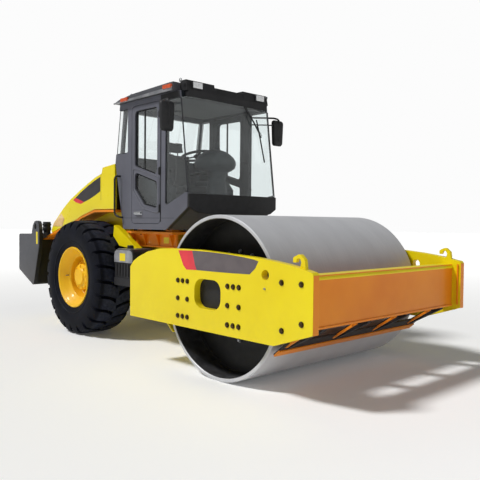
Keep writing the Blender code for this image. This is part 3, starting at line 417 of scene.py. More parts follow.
def outlined(name, outline, low, high, axis="Y", smooth=35.0):
    """A plate: an outline pushed from low to high, (x, z) for Y, (y, z) for X, (x, y) for Z."""
    put = {"X": lambda a, b, c: (c, a, b), "Y": lambda a, b, c: (a, c, b), "Z": lambda a, b, c: (a, b, c)}[axis]
    mesh = bmesh.new()
    ends = [[mesh.verts.new(put(a, b, c)) for a, b in outline] for c in (low, high)]
    for end in ends:
        mesh.faces.new(end)
    for i in range(len(outline)):
        j = (i + 1) % len(outline)
        mesh.faces.new((ends[0][i], ends[0][j], ends[1][j], ends[1][i]))
    return shape(name, mesh, smooth)


def between(side, near, far):
    """The two y values of a plate on one side of the machine, lower one first."""
    return sorted((side * near, side * far))


def softened(obj, width, segments=2, angle=30.0):
    """Breaks the sharp edges of a piece, as folded and ground steel has them."""
    step = obj.modifiers.new("Bevel", "BEVEL")
    step.width = width
    step.segments = segments
    step.limit_method = "ANGLE"
    step.angle_limit = math.radians(angle)
    for kind in ("BEVEL", "WEIGHTED_NORMAL"):
        if kind == "WEIGHTED_NORMAL":
            obj.modifiers.new("Weighted", kind).keep_sharp = True
        bpy.context.view_layer.update()
        data = evaluated(obj)
        obj.modifiers.clear()
        obj.data = data
        if kind == "BEVEL":
            data.shade_smooth()
            data.set_sharp_from_angle(angle=math.radians(38))
    return obj


def cad_shape(node):
    """The CAD node's shape with its flat faces joined up."""
    mesh = bmesh.new()
    mesh.from_mesh(frame["nodes"][node].data)
    bmesh.ops.remove_doubles(mesh, verts=mesh.verts, dist=0.00003)
    bmesh.ops.dissolve_limit(mesh, angle_limit=math.radians(1.0), verts=mesh.verts, edges=mesh.edges)
    return shape(node + "_painted", mesh)


def finished(node, paint, width=0.004, body=None, segments=2):
    """The CAD node's shape with its edges softened, in its real finish."""
    obj = cad_shape(node)
    if width:
        softened(obj, width, segments)
    return set_on(obj, body or body_of(frame["nodes"][node])[0], paint, node)


def box(name, x, y, z, width=0.003):
    obj = outlined(name, [(x[0], z[0]), (x[1], z[0]), (x[1], z[1]), (x[0], z[1])], min(y), max(y))
    return softened(obj, width) if width else obj


for side in (-1, 1):
    finished("side_plate_" + mirrored(side), yellow, 0.005)

# Hex bolts in rows of three through each plate into the drum mounts, and two pairs at the beam.
PLATE_OUT = 1.19
ROWS = (0.902, 0.735, 0.568)
places = []
for row, z in enumerate(ROWS):
    for first in (1.425, 2.121):
        places += [(first + 0.071 * k, z) for k in ((0, 2) if row == 1 else (0, 1, 2))]
places += [(2.750, 0.982), (2.954, 0.984), (2.756, 0.604), (2.959, 0.679)]

# Blackened (oxidised) steel fasteners: near black, with a brown cast that is a painted reflection of the yellow plate
# round them.
dark_steel_yellow_reflection, tree, shader, where = material("blackened_steel", "#4A3B22", 0.38, 0.75)
tinted(tree, shader, speckle(tree, where, 70.0).outputs[0], "#33281A", "#5E4A26")
for side in (-1, 1):
    bolts = [hexagon("bolt", (x, side * PLATE_OUT, z), (0, side, 0), 0.034, 0.015) for x, z in places]
    bolts = joined("plate_bolts_" + mirrored(side), bolts)
    set_on(bolts, "front_frame", dark_steel_yellow_reflection, slot="steel")

# Die-cut film: a satin grey flash with a red rear end, laid on the paint with nothing printed on it.
red_film, tree, shader, where = material("red_film", "#D9142B", 0.30, 0.0, 0.4)
tinted(tree, shader, speckle(tree, where, 6.0).outputs[0], "#D01229", "#E2182F")
grey_film, tree, shader, where = material("grey_film", "#544A4C", 0.32, 0.0, 0.4)
tinted(tree, shader, speckle(tree, where, 6.0).outputs[0], "#4E4548", "#5B5153")
FLASH_RED = [(1.428, 1.184), (1.634, 1.1895), (1.675, 1.060), (1.700, 1.014), (1.552, 1.009), (1.505, 1.045)]
FLASH_GREY = [(1.634, 1.1895), (1.85, 1.187), (2.10, 1.177), (2.30, 1.163), (2.43, 1.149), (2.493, 1.136),
              (2.455, 1.075), (2.392, 1.023), (2.20, 1.018), (1.95, 1.015), (1.700, 1.014), (1.675, 1.060)]
for side in (-1, 1):
    spots = between(side, PLATE_OUT - 0.0002, PLATE_OUT + 0.0009)
    name = mirrored(side)
    set_on(outlined("plate_flash_red_" + name, FLASH_RED, *spots), "front_frame", red_film, slot="yellow")
    set_on(outlined("plate_flash_grey_" + name, FLASH_GREY, *spots), "front_frame", grey_film, slot="yellow")
    nipple = lathed("grease_nipple_" + name, [(0.0, 0.0), (0.009, 0.0), (0.009, side * 0.006), (0.005, side * 0.010),
                    (0.005, side * 0.018), (0.0, side * 0.020)], (2.568, side * PLATE_OUT, 0.918), "Y", 16)
    set_on(nipple, "front_frame", zinc, slot="steel")

# The front beam is folded: its web is set in behind the plates, under a top flange with a rounded front
# edge; the web's orange is painted shade. An orange rib and an orange edge, also painted shade, finish the end of
# each plate.
finished("front_beam", orange, 0.004)
flange = [(2.862, 1.036), (2.862, 1.0475), (2.955, 1.0475)]
flange += [(2.955 + 0.032 * math.sin(a * math.pi / 16), 1.0155 + 0.032 * math.cos(a * math.pi / 16)) for a in range(1,
        9)]
flange += [(2.987, 1.008), (2.979, 1.008), (2.979, 1.036)]
set_on(outlined("beam_top_flange", flange, -1.117, 1.117), "front_frame", yellow, slot="yellow")
set_on(box("beam_low_lip", (2.974, 2.990), (-1.117, 1.117), (0.622, 0.640), 0.002), "front_frame", orange,
       slot="orange")
for side in (-1, 1):
    name = mirrored(side)
    rib = box("plate_end_rib_" + name, (3.036, 3.050), (side * 1.104, side * 1.1195), (0.640, 1.050), 0.003)
    set_on(rib, "front_frame", orange, slot="orange")
    edging = outlined("plate_edge_" + name, [(side * 1.123, 0.606), (side * 1.187, 0.606), (side * 1.187, 1.058),
                                             (side * 1.123, 1.058)],
                      3.0702, 3.0716, "X")
    set_on(edging, "front_frame", orange, slot="orange")

# Rear box beam, drum mounts with their hydraulic motor housings, and rubber buffers between.
finished("rear_beam", yellow, 0.006)
for side in (-1, 1):
    name = mirrored(side)
    finished("drum_mount_" + name, black_paint, 0.004)
    bolt = hexagon("motor_bolts_" + name, (1.84, side * 1.068, 0.76 + 0.205), (0, -side, 0), 0.026, 0.012)
    baked(bolt, repeat, Copies=10, Turn=(0, 2 * math.pi / 10, 0), Centre=DRUM_AT, Step=(0, 0, 0), Paint=zinc)
    set_on(bolt, "front_frame", None, slot="steel")

# Natural rubber, black and faintly bloomed.
rubber, tree, shader, where = material("black_rubber", "#17181B", 0.78, 0.0)
tinted(tree, shader, speckle(tree, where, 35.0, 8.0).outputs[0], "#131417", "#222327")
raised(tree, shader, speckle(tree, where, 260.0, 3.0).outputs[0], 0.0006, 0.5)
for side in (-1, 1):
    buffers = []
    for x in (1.46, 2.22):
        for z in (0.59, 0.87):
            profile = [(0.0, side * 1.071), (0.055, side * 1.071), (0.045, side * 1.050), (0.055, side * 1.030),
                       (0.055, side * 1.022), (0.0, side * 1.022)]
            buffers.append(lathed("buffer", profile, (x, 0, z), "Y", 32))
    buffers = joined("rubber_buffers_" + mirrored(side), buffers)
    set_on(buffers, "front_frame", rubber, slot="rubber")

# Scrapers: a hardened blade on flat arms. The front blade is painted black as painted shade under the beam,
# and hangs on orange brackets with a bolt in each, above a thin orange strip; their orange is painted shade.
finished("front_scraper", black_paint, 0.002)
finished("rear_scraper", yellow, 0.002)
hangers = []
for y in (-0.93, -0.31, 0.31, 0.93):
    plate = [(2.870, 0.630), (2.890, 0.630), (2.890, 0.585), (2.640, 0.425), (2.628, 0.437), (2.870, 0.596)]
    hangers.append(outlined("hanger", plate, y - 0.085, y - 0.060))
    hangers.append(hexagon("bolt", (2.85, y - 0.085, 0.590), (0, -1, 0), 0.026, 0.014))
set_on(joined("scraper_hangers", hangers), "front_frame", orange, slot="orange")
wiper = outlined("scraper_strip", [(2.5285, 0.361), (2.5385, 0.3495), (2.600, 0.399), (2.590, 0.411)], -1.045, 1.045)
wiper.data.transform(Matrix.Translation((0.006, 0, -0.008)))
set_on(wiper, "front_frame", orange, slot="orange")


# ---- Centre joint and steering cylinders ----------------------------------------------------------
# A forged yoke turns on the king pin and carries the front frame on a thick trunnion. Two
# double-acting cylinders, black enamelled with hard chrome rods, push it to either side.
finished("centre_joint", yellow, 0.003)

# Hard chrome: a bright mirror, drawn along the rod. Painted cast iron: near black with a rough skin.
hard_chrome, tree, shader, where = material("hard_chrome", "#C9CBCE", 0.12, 1.0)
raised(tree, shader, speckle(tree, where, 60.0, 3.0, (1, 12, 12)).outputs[0], 0.0001, 0.15)
cast_iron, tree, shader, where = material("painted_cast_iron", "#2B2C2F", 0.5, 0.15, 0.1)
raised(tree, shader, speckle(tree, where, 240.0, 4.0).outputs[0], 0.0008, 0.4)
tinted(tree, shader, speckle(tree, where, 18.0).outputs[0], "#242528", "#35363A")
for side in (-1, 1):
    name = mirrored(side)
    finished("steer_barrel_" + name, cast_iron, 0.002)
    finished("steer_rod_" + name, hard_chrome, 0.001)
    start, tip = Vector((-0.17, side * 0.24, 0.80)), Vector((0.41, side * 0.16, 0.80))
    along = (tip - start).normalized()
    gland = lathed("gland", [(0.0215, 0.305), (0.046, 0.305), (0.046, 0.328), (0.040, 0.338), (0.0215, 0.338)],
                   (0, 0, 0), "X", 40)
    ports = [lathed("port", [(0.0, 0.038), (0.012, 0.038), (0.012, 0.062), (0.0, 0.062)], (x, 0, 0), "Z", 16)
             for x in (0.075, 0.285)]
    gland = joined("cylinder_gland_" + name, [gland, *ports])
    gland.data.transform(Matrix.Translation(start) @ along.to_track_quat("X", "Z").to_matrix().to_4x4())
    set_on(gland, "barrel_" + name, cast_iron, slot="iron")
ring = hexagon("trunnion_bolts", (0.6195, 0.0, 0.77 + 0.10), (-1, 0, 0), 0.022, 0.012)
baked(ring, repeat, Copies=8, Turn=(2 * math.pi / 8, 0, 0), Centre=(0.62, 0, 0.77), Step=(0, 0, 0), Paint=zinc)
set_on(ring, "front_frame", None, slot="steel")


# ---- Rear frame, fenders and axle -----------------------------------------------------------------
# A welded box frame in yellow enamel. The bent fender plates and the pressed channel that carries the
# cab on four rubber mounts are painted orange, as painted shade of the yellow.
finished("rear_frame", yellow, 0.004)
for side in (-1, 1):
    finished("fender_" + mirrored(side), orange, 0.003)
finished("cab_platform", orange, 0.003)
finished("rear_axle", yellow, 0.006)
finished("engine", cast_iron, 0.02)
finished("radiator", black_paint, 0.01)
for side in (-1, 1):
    name = mirrored(side)
    web = []
    for x in (-0.36, -0.10, 0.16, 0.42):
        web.append(outlined("gusset", [(side * 0.501, 1.160), (side * 0.501, 1.300), (side * 0.555, 1.300)],
                            x - 0.006, x + 0.006, "X"))
    web.append(box("rib", (-0.45, 0.48), (side * 0.501, side * 0.520), (1.150, 1.166), 0.002))
    web = joined("platform_gussets_" + name, web)
    set_on(web, "chassis", orange, slot="orange")
    cups = [lathed("mount", [(0.0, 1.303), (0.052, 1.303), (0.052, 1.290), (0.040, 1.262), (0.018, 1.262),
                   (0.018, 1.238), (0.0, 1.238)], (x, side * 0.45, 0), "Z", 32) for x in (-0.22, 0.36)]
    cups = joined("cab_mount_cups_" + name, cups)
    set_on(cups, "chassis", rubber, slot="rubber")
    label = box("platform_label_" + name, (0.25, 0.35), (side * 0.5005, side * 0.5015), (1.20, 1.27), 0)
    set_on(label, "chassis", yellow, slot="yellow")
    apron = [(-0.600, 1.405), (-0.470, 1.345), (-0.090, 1.132), (-0.200, 1.121), (-0.480, 1.150), (-0.620, 1.270)]
    apron = softened(outlined("apron_" + name, apron, *between(side, 0.565, 0.645)), 0.003)
    set_on(apron, "chassis", yellow, slot="yellow")


# ---- Rear wheels ------------------------------------------------------------------------------------
# Wide earthmover tyres with deep angled lugs that meet in a zigzag down the middle, on deep dished
# pressed steel rims in warm yellow, each held by a ring of nuts round the hub.
AXLE = (-1.12, 0.73)
TYRE_Y = 0.70

# Vulcanised tyre rubber, near black with a blue cast, finely pitted. The lug tops are lighter: the
# colour changes with distance from the axle.
tyre_rubber, tree, shader, where = material("vulcanised_tyre_rubber", "#0E111B", 0.62, 0.0)
shader.inputs["Specular IOR Level"].default_value = 0.14
wear = speckle(tree, where, 7.0, 6.0)
side_colour = blended(tree, wear.outputs[0], "#05070F", "#0B0E1A")
top_colour = blended(tree, speckle(tree, where, 30.0, 8.0).outputs[0], "#1D202C", "#2F3340")
flat = add(tree, "ShaderNodeVectorMath", {0: where, 1: (AXLE[0], 0, AXLE[1])}, operation="SUBTRACT")
flat = add(tree, "ShaderNodeVectorMath", {0: flat.outputs[0], 1: (1, 0, 1)}, operation="MULTIPLY")
from_axle = add(tree, "ShaderNodeVectorMath", {0: flat.outputs[0]}, operation="LENGTH")
on_top = add(tree, "ShaderNodeMapRange", {0: from_axle.outputs["Value"], 1: 0.712, 2: 0.724})
both_colours = add(tree, "ShaderNodeMix", {0: on_top.outputs[0], 6: side_colour, 7: top_colour}, data_type="RGBA")
tree.links.new(both_colours.outputs[2], shader.inputs["Base Color"])
raised(tree, shader, speckle(tree, where, 180.0, 5.0).outputs[0], 0.0009, 0.5)

carcass = [(0.352, 0.196), (0.372, 0.222), (0.398, 0.228), (0.420, 0.240), (0.450, 0.250), (0.500, 0.261),
           (0.545, 0.265),
           (0.590, 0.264), (0.618, 0.258), (0.640, 0.250), (0.662, 0.236), (0.676, 0.205), (0.681, 0.13),
           (0.683, 0.0)]
loop = carcass + [(r, -t) for r, t in reversed(carcass[:-1])]
LUGS = 24
pitch = 2 * math.pi / LUGS


def lofted(name, rings, smooth):
    """A skin over rings of points, with a face over each end."""
    mesh = bmesh.new()
    rows = [[mesh.verts.new(point) for point in ring] for ring in rings]
    for a, b in zip(rows, rows[1:]):
        for i in range(len(a)):
            j = (i + 1) % len(a)
            mesh.faces.new((a[i], a[j], b[j], b[i]))
    mesh.faces.new(rows[0])
    mesh.faces.new(rows[-1])
    return shape(name, mesh, smooth)


def lug(side, offset):
    """One tread lug: from the shoulder it runs in across the tread, then bends towards the next one."""
    path = [(0.262, 0.0, 0.600), (0.255, 0.0, 0.668), (0.236, 0.004, 0.702), (0.180, 0.010, 0.722),
            (0.100, 0.024, 0.729), (0.030, 0.058, 0.7295), (-0.012, 0.090, 0.7290)]
    widths = [0.130, 0.138, 0.146, 0.152, 0.154, 0.140, 0.100]
    rings = []
    for (t, ahead_by, r), wide in zip(path, widths):
        ring = []
        foot_r = 0.676 if t < 0.2 else (0.590 if r < 0.62 else 0.655)
        foot_t = min(t, 0.205) if r > 0.62 else t - 0.02
        for share, drop in ((-0.56, 0.0), (-0.485, 0.86), (-0.455, 1.0), (-0.15, 1.0), (0.15, 1.0), (0.455, 1.0),
                            (0.485, 0.86), (0.56, 0.0)):
            angle = (ahead_by + wide * share) / 0.70 + offset
            radius = foot_r + (r - foot_r) * drop
            along = foot_t + (t - foot_t) * drop
            ring.append((AXLE[0] + radius * math.sin(angle), side * along, AXLE[1] + radius * math.cos(angle)))
        rings.append(ring)
    return lofted("lug", rings, 30)


rim_paint = enamel("warm_yellow_rim_enamel", "#F6C21A", "#F8C820", "#EFB614", 0.46, 0.1)
for side in (-1, 1):
    name = mirrored(side)
    centre = (AXLE[0], side * TYRE_Y, AXLE[1])
    body = lathed("tyre_carcass_" + name, loop, centre, "Y", 144)
    rings = [lathed("ring", [(0.448, out * 0.249), (0.456, out * 0.2565), (0.462, out * 0.2545),
                             (0.470, out * 0.2560),
                             (0.476, out * 0.2545), (0.480, out * 0.2550)], centre, "Y", 144) for out in (-1, 1)]
    set_on(merged(body, *rings), "wheel_" + name, tyre_rubber, "tyre_" + name)
    lugs = joined("tyre_lugs_" + name, [lug(1, 0.0), lug(-1, pitch / 2)])
    lugs.data.transform(Matrix.Translation((0, side * TYRE_Y, 0)))
    baked(lugs, repeat, Copies=LUGS, Turn=(0, pitch, 0), Centre=centre, Step=(0, 0, 0), Paint=tyre_rubber)
    set_on(lugs, "wheel_" + name, None, slot="rubber")

    # The rim: a rolled outer lip, a deep well and a domed centre disc with a raised hub.
    dish = [(0.350, -0.205), (0.350, 0.196), (0.362, 0.205), (0.380, 0.214), (0.388, 0.226), (0.384, 0.236),
            (0.372, 0.2365),
            (0.361, 0.229), (0.353, 0.212), (0.345, 0.206), (0.326, 0.176), (0.300, 0.146), (0.284, 0.131),
            (0.272, 0.126),
            (0.264, 0.118), (0.261, 0.060), (0.257, 0.012), (0.246, 0.000), (0.226, 0.000), (0.214, 0.012),
            (0.209, 0.046),
            (0.200, 0.058), (0.182, 0.060), (0.172, 0.068), (0.166, 0.112), (0.156, 0.124), (0.118, 0.128),
            (0.108, 0.136),
            (0.098, 0.150), (0.0, 0.153), (0.0, -0.018), (0.27, -0.018), (0.32, -0.09), (0.33, -0.22), (0.345, -0.22)]
    rim = lathed("rim_" + name + "_pressed", [(r, side * t) for r, t in dish], centre, "Y", 128)
    set_on(rim, "wheel_" + name, rim_paint, "rim_" + name)
    nut = hexagon("wheel_nuts_" + name, (AXLE[0], side * (TYRE_Y + 0.0585), AXLE[1] + 0.190), (0, side, 0), 0.026,
                  0.024)
    baked(nut, repeat, Copies=12, Turn=(0, 2 * math.pi / 12, 0), Centre=centre, Step=(0, 0, 0), Paint=rim_paint)
    set_on(nut, "wheel_" + name, None, slot="orange")
    plug = hexagon("hub_bolts_" + name, (AXLE[0], side * (TYRE_Y + 0.1265), AXLE[1] + 0.138), (0, side, 0), 0.020,
                   0.013)
    baked(plug, repeat, Copies=9, Turn=(0, 2 * math.pi / 9, 0), Centre=centre, Step=(0, 0, 0), Paint=rim_paint)
    set_on(plug, "wheel_" + name, None, slot="orange")
    valve = lathed("valve_" + name, [(0.0, side * 0.13), (0.006, side * 0.13), (0.006, side * 0.172),
                                     (0.0045, side * 0.178),
                   (0.0, side * 0.178)], (AXLE[0] - 0.290, side * TYRE_Y, AXLE[1]), "Y", 12)
    set_on(valve, "wheel_" + name, zinc, slot="steel")


# ---- Counterweight and tanks ------------------------------------------------------------------------
# A heavy casting in dark grey enamel closes the tail, with a lifting lug on each side and the black
# exhaust stub beside it. The tanks are black boxes with silver-grey covers, one each side.


def carved(obj, tools, width):
    """Cuts the tools out of a piece, then softens its edges."""
    for tool in tools:
        cutting = obj.modifiers.new("cut", "BOOLEAN")
        cutting.operation, cutting.solver, cutting.object = "DIFFERENCE", "EXACT", tool
    softened(obj, width)
    for tool in tools:
        bpy.data.objects.remove(tool, do_unlink=True)
    return obj


# Graphite enamel on pressed steel, and a duller, darker one on castings.
grey = enamel("graphite_grey_enamel", "#5F6069", "#656670", "#585962", 0.40, 0.25)
dark_grey = enamel("dark_casting_enamel", "#4A4B50", "#505156", "#434448", 0.52, 0.15)
finished("counterweight", dark_grey, 0.012, segments=3)
# A black sheet over the counterweight's front face is painted shade.
set_on(box("counterweight_front", (-2.579, -2.570), (-0.74, 0.74), (0.530, 1.225), 0.002), "chassis", black_paint,
       slot="dark")
for side in (-1, 1):
    name = mirrored(side)
    lug_line = [(-2.640, 1.16), (-2.622, 1.29), (-2.585, 1.385), (-2.535, 1.438), (-2.480, 1.450), (-2.425, 1.440),
                (-2.392, 1.400),
                (-2.385, 1.330), (-2.390, 1.08), (-2.560, 0.520), (-2.600, 0.520), (-2.600, 1.16)]
    lug_plate = outlined("lug", lug_line, *between(side, 0.745, 0.801))
    hole = outlined("hole", [(-2.505 + 0.032 * math.cos(a * math.pi / 12), 1.365 + 0.042 * math.sin(a * math.pi / 12))
                             for a in range(24)], side * 0.77 - 0.1, side * 0.77 + 0.1)
    carved(lug_plate, [hole], 0.004)
    lug_plate.name = "lifting_lug_" + name
    set_on(lug_plate, "chassis", dark_grey, slot="grey")
    strip = outlined("lug_mark_" + name, [(-2.475, 1.110), (-2.475, 1.290), (-2.425, 1.285), (-2.425, 1.110)],
                     *between(side, 0.8012, 0.8022))
    set_on(strip, "chassis", yellow, slot="yellow")
    # A black strip along each lug's front edge is painted shade.
    inner = outlined("lug_inner_" + name, [(-2.384, 1.08), (-2.378, 1.32), (-2.370, 1.32), (-2.376, 1.07),
                                           (-2.552, 0.530), (-2.558, 0.530)],
                     *between(side, 0.747, 0.799))
    set_on(inner, "chassis", black_paint, slot="dark")
    foot = box("lug_foot_" + name, (-2.64, -2.44), (side * 0.48, side * 0.744), (1.196, 1.252), 0.004)
    set_on(foot, "chassis", dark_grey, slot="grey")
stub = lathed("exhaust_stub", [(0.0, 1.245), (0.062, 1.245), (0.062, 1.262), (0.052, 1.270), (0.052, 1.300),
                               (0.062, 1.308),
              (0.062, 1.350), (0.055, 1.358), (0.055, 1.378), (0.063, 1.384), (0.063, 1.402), (0.056, 1.408),
              (0.056, 1.428),
              (0.050, 1.434), (0.046, 1.420), (0.046, 1.30), (0.0, 1.30)], (-2.55, -0.60, 0), "Z", 48)
set_on(stub, "chassis", black_paint, slot="dark")
seams = []
for side in (-1, 1):
    for z in (0.84, 1.10):
        seams.append(hexagon("bolt", (-3.0698, side * 0.62, z), (-1, 0, 0), 0.040, 0.022))
heads = joined("counterweight_bolts", seams)
set_on(heads, "chassis", zinc, slot="steel")

TANK_FACE = 0.8005

# Moulded polyethylene, black with a leathery grain.
black_plastic, tree, shader, where = material("grained_black_plastic", "#141416", 0.58, 0.0)
grain = add(tree, "ShaderNodeTexVoronoi", {"Vector": where, "Scale": 210.0})
raised(tree, shader, grain.outputs[0], 0.0006, 0.35)
tinted(tree, shader, speckle(tree, where, 8.0).outputs[0], "#101012", "#1B1B1E")

# Silver-grey enamel: cloudy and faintly metallic, so that it picks up the sky.
zinc_grey, tree, shader, where = material("silver_grey_enamel", "#8A8B8E", 0.30, 0.35, 0.3)
tinted(tree, shader, speckle(tree, where, 9.0, 6.0).outputs[0], "#77787C", "#9B9CA0")
raised(tree, shader, speckle(tree, where, 330.0, 2.0).outputs[0], 0.0002, 0.2)
for side in (-1, 1):
    name = mirrored(side)
    finished("tank_" + name, black_plastic, 0.010, segments=3)
    y = between(side, TANK_FACE, 0.812)
    cover = [(-0.326, 0.965), (0.066, 0.965), (0.066, 1.050), (0.050, 1.092), (0.010, 1.114), (-0.270, 1.114),
             (-0.310, 1.092), (-0.326, 1.050)]
    cover = softened(outlined("tank_cover_" + name, cover, *y), 0.005)
    set_on(cover, "chassis", zinc_grey, slot="grey")
    cap_rail = outlined("tank_top_" + name, [(-0.270, 1.1205), (0.004, 1.1205), (0.004, 1.127), (-0.270, 1.127)],
                        side * 0.46, side * 0.795)
    set_on(softened(cap_rail, 0.002), "chassis", zinc_grey, slot="grey")
    lower = softened(outlined("tank_skirt_" + name, [(-0.322, 0.690), (0.060, 0.690), (0.064, 0.780),
                                                     (-0.326, 0.780)],
                              *y), 0.005)
    set_on(lower, "chassis", black_plastic, slot="grey")
    rib = box("tank_ribs_" + name, (-0.29, -0.265), (side * TANK_FACE, side * 0.810), (0.80, 0.95), 0.004)
    baked(rib, repeat, Copies=6, Turn=(0, 0, 0), Centre=(0, 0, 0), Step=(0.062, 0, 0), Paint=black_plastic)
    set_on(rib, "chassis", None, slot="grey")
    label = box("tank_label_" + name, (-0.20, -0.08), (side * 0.8122, side * 0.8130), (0.985, 1.075), 0)
    set_on(label, "chassis", yellow, slot="yellow")
    cap = lathed("tank_cap_" + name, [(0.0, 1.119), (0.046, 1.119), (0.046, 1.130), (0.040, 1.134), (0.040, 1.158),
                 (0.034, 1.164), (0.0, 1.166)], (-0.20, side * 0.66, 0), "Z", 24)
    set_on(cap, "chassis", black_plastic, slot="dark")


# ---- Hood -------------------------------------------------------------------------------------------
# One moulded glass-fibre hood in glossy yellow that slopes to the tail, with louvres across its top
# and a grille in its tail. Each side has a blank flash, a crease drawn as a painted shadow line and a pale lamp at
# the rear corner.
hood_paint = enamel("yellow_gelcoat", "#F0DD16", "#F3E01A", "#ECD60F", 0.28, 0.5)
finished("hood", hood_paint, 0.012, segments=3)

# Die-cut film in satin black, beside the red one.
dark_film, tree, shader, where = material("black_film", "#1E1A1E", 0.30, 0.0, 0.4)
tinted(tree, shader, speckle(tree, where, 6.0).outputs[0], "#1A171A", "#262227")

# Pale amber polycarbonate, washed out by the light behind its ribs.
pale_lens, tree, shader, where = material("pale_amber_lens", "#F3D08A", 0.25, 0.0, 0.4)
tinted(tree, shader, speckle(tree, where, 24.0).outputs[0], "#F0C67C", "#F6DBA2")
for side in (-1, 1):
    name = mirrored(side)
    film = between(side, 0.6502, 0.6514)
    red_end = [(-1.649, 1.738), (-1.578, 1.766), (-1.345, 1.706), (-1.430, 1.680), (-1.560, 1.702)]
    set_on(outlined("hood_flash_red_" + name, red_end, *film), "hood", red_film, slot="yellow")
    rest = [(-1.578, 1.766), (-1.420, 1.842), (-1.240, 1.915), (-1.080, 1.973), (-0.924, 2.020), (-0.924, 1.836),
            (-1.050, 1.788),
            (-1.200, 1.740), (-1.345, 1.706)]
    set_on(outlined("hood_flash_grey_" + name, rest, *film), "hood", dark_film, slot="yellow")

    # Tail lamp panel at the rear corner, a pale ribbed lens.
    frame_line = [(-2.255, 1.372), (-1.960, 1.372), (-1.900, 1.480), (-1.985, 1.555), (-2.180, 1.445)]
    panel = softened(outlined("hood_vent_" + name, frame_line, *between(side, 0.648, 0.655)), 0.002)
    set_on(panel, "hood", pale_lens, slot="glass")
    slats = []
    for k in range(5):
        z = 1.388 + 0.022 * k
        slats.append(box("slat", (-2.225 + 0.030 * k, -1.960 + 0.012 * k), (side * 0.653, side * 0.661),
                         (z, z + 0.010), 0.002))
    slats = joined("hood_slats_" + name, slats)
    set_on(slats, "hood", pale_lens, slot="glass")
    # A thin black strip along the crease is its painted shadow.
    crease = outlined("hood_seam_" + name, [(-0.912, 1.72), (-0.908, 1.72), (-0.908, 2.060), (-0.912, 2.060)],
                      *between(side, 0.6490, 0.6503))
    set_on(crease, "hood", black_plastic, slot="dark")

# Grille in the hood's tail: black bars across a dark opening.
bars = box("hood_grille", (-2.319, -2.305), (-0.50, 0.50), (1.286, 1.290), 0.001)
baked(bars, repeat, Copies=4, Turn=(0, 0, 0), Centre=(0, 0, 0), Step=(0, 0, 0.010), Paint=black_plastic)
set_on(bars, "hood", None, slot="dark")
top_vent = []
for k in range(7):
    x = -1.98 + 0.045 * k
    z = 1.630 + (x + 1.945) * 0.585 + 0.001
    top_vent.append(outlined("slot", [(x, z + 0.003), (x + 0.022, z + 0.0135), (x + 0.020, z - 0.004),
                                      (x + 0.002, z - 0.012)],
                             -0.32, 0.32))
top_vent = joined("hood_top_louvres", top_vent)
set_on(top_vent, "hood", black_plastic, slot="dark")


# ---- Cab shell ----------------------------------------------------------------------------------------
# Pressed and welded steel in graphite grey, with black rubber seals round clear toughened glass. The
# doors are hung on the front posts and have a raised rim round their lower pane.

# Cab enamel: graphite grey outside, while the inner faces (under 0.652 m from the middle) have dark trim.
cab_paint = enamel("cab_enamel_and_trim", "#5F6069", "#656670", "#585962", 0.40, 0.15)
tree = cab_paint.node_tree
shader = tree.nodes["Principled BSDF"]
sides = add(tree, "ShaderNodeSeparateXYZ", {0: add(tree, "ShaderNodeTexCoord").outputs["Object"]})
off_middle = add(tree, "ShaderNodeMath", {0: sides.outputs[1]}, operation="ABSOLUTE")
is_outer = add(tree, "ShaderNodeMapRange", {0: off_middle.outputs[0], 1: 0.650, 2: 0.654})
skin = add(tree, "ShaderNodeMix", {0: is_outer.outputs[0], 6: linear("#1D2327"),
                                   7: shader.inputs["Base Color"].links[0].from_socket}, data_type="RGBA")
tree.links.new(skin.outputs[2], shader.inputs["Base Color"])
for node in ("cab_floor", "cab_rear_wall"):
    finished(node, dark_grey, 0.004)
CAB_SKIN, CAB_FLOOR_TOP = 0.6703, 1.4205
FRONT_GAP = [(0.700, 1.706), (0.862, 1.770), (0.960, 1.770), (0.960, 2.797), (0.700, 2.797)]
REAR_GAP = [(-0.400, 2.272), (-0.640, 2.272), (-0.640, 2.797), (-0.400, 2.797)]
for side in (-1, 1):
    # The panes run on to the corners, so the posts between side and screen glass fall away.
    node = "cab_side_" + mirrored(side)
    gaps = [outlined("gap", gap, side * 0.65 - 0.06, side * 0.65 + 0.06) for gap in (FRONT_GAP, REAR_GAP)]
    set_on(carved(cad_shape(node), gaps, 0.003), "chassis", cab_paint, node)
finished("cab_front_panel", black_paint, 0.004)
for side in (-1, 1):
    finished("door_" + mirrored(side), cab_paint, 0.004)

# Toughened glass, clear with the faintest green.
glass, tree, shader, where = material("clear_toughened_glass", "#F6FBFB", 0.02, ior=1.5)
shader.inputs["Transmission Weight"].default_value = 1.0
raised(tree, shader, speckle(tree, where, 3.0, 2.0).outputs[0], 0.0008, 0.12)
smear = add(tree, "ShaderNodeMapRange", {0: speckle(tree, where, 5.0, 6.0).outputs[0], 3: 0.0, 4: 0.02})
tree.links.new(smear.outputs[0], shader.inputs["Roughness"])
for node in ("windscreen", "rear_glass", "door_upper_glass_right", "door_upper_glass_left"):
    finished(node, glass, 0.0)


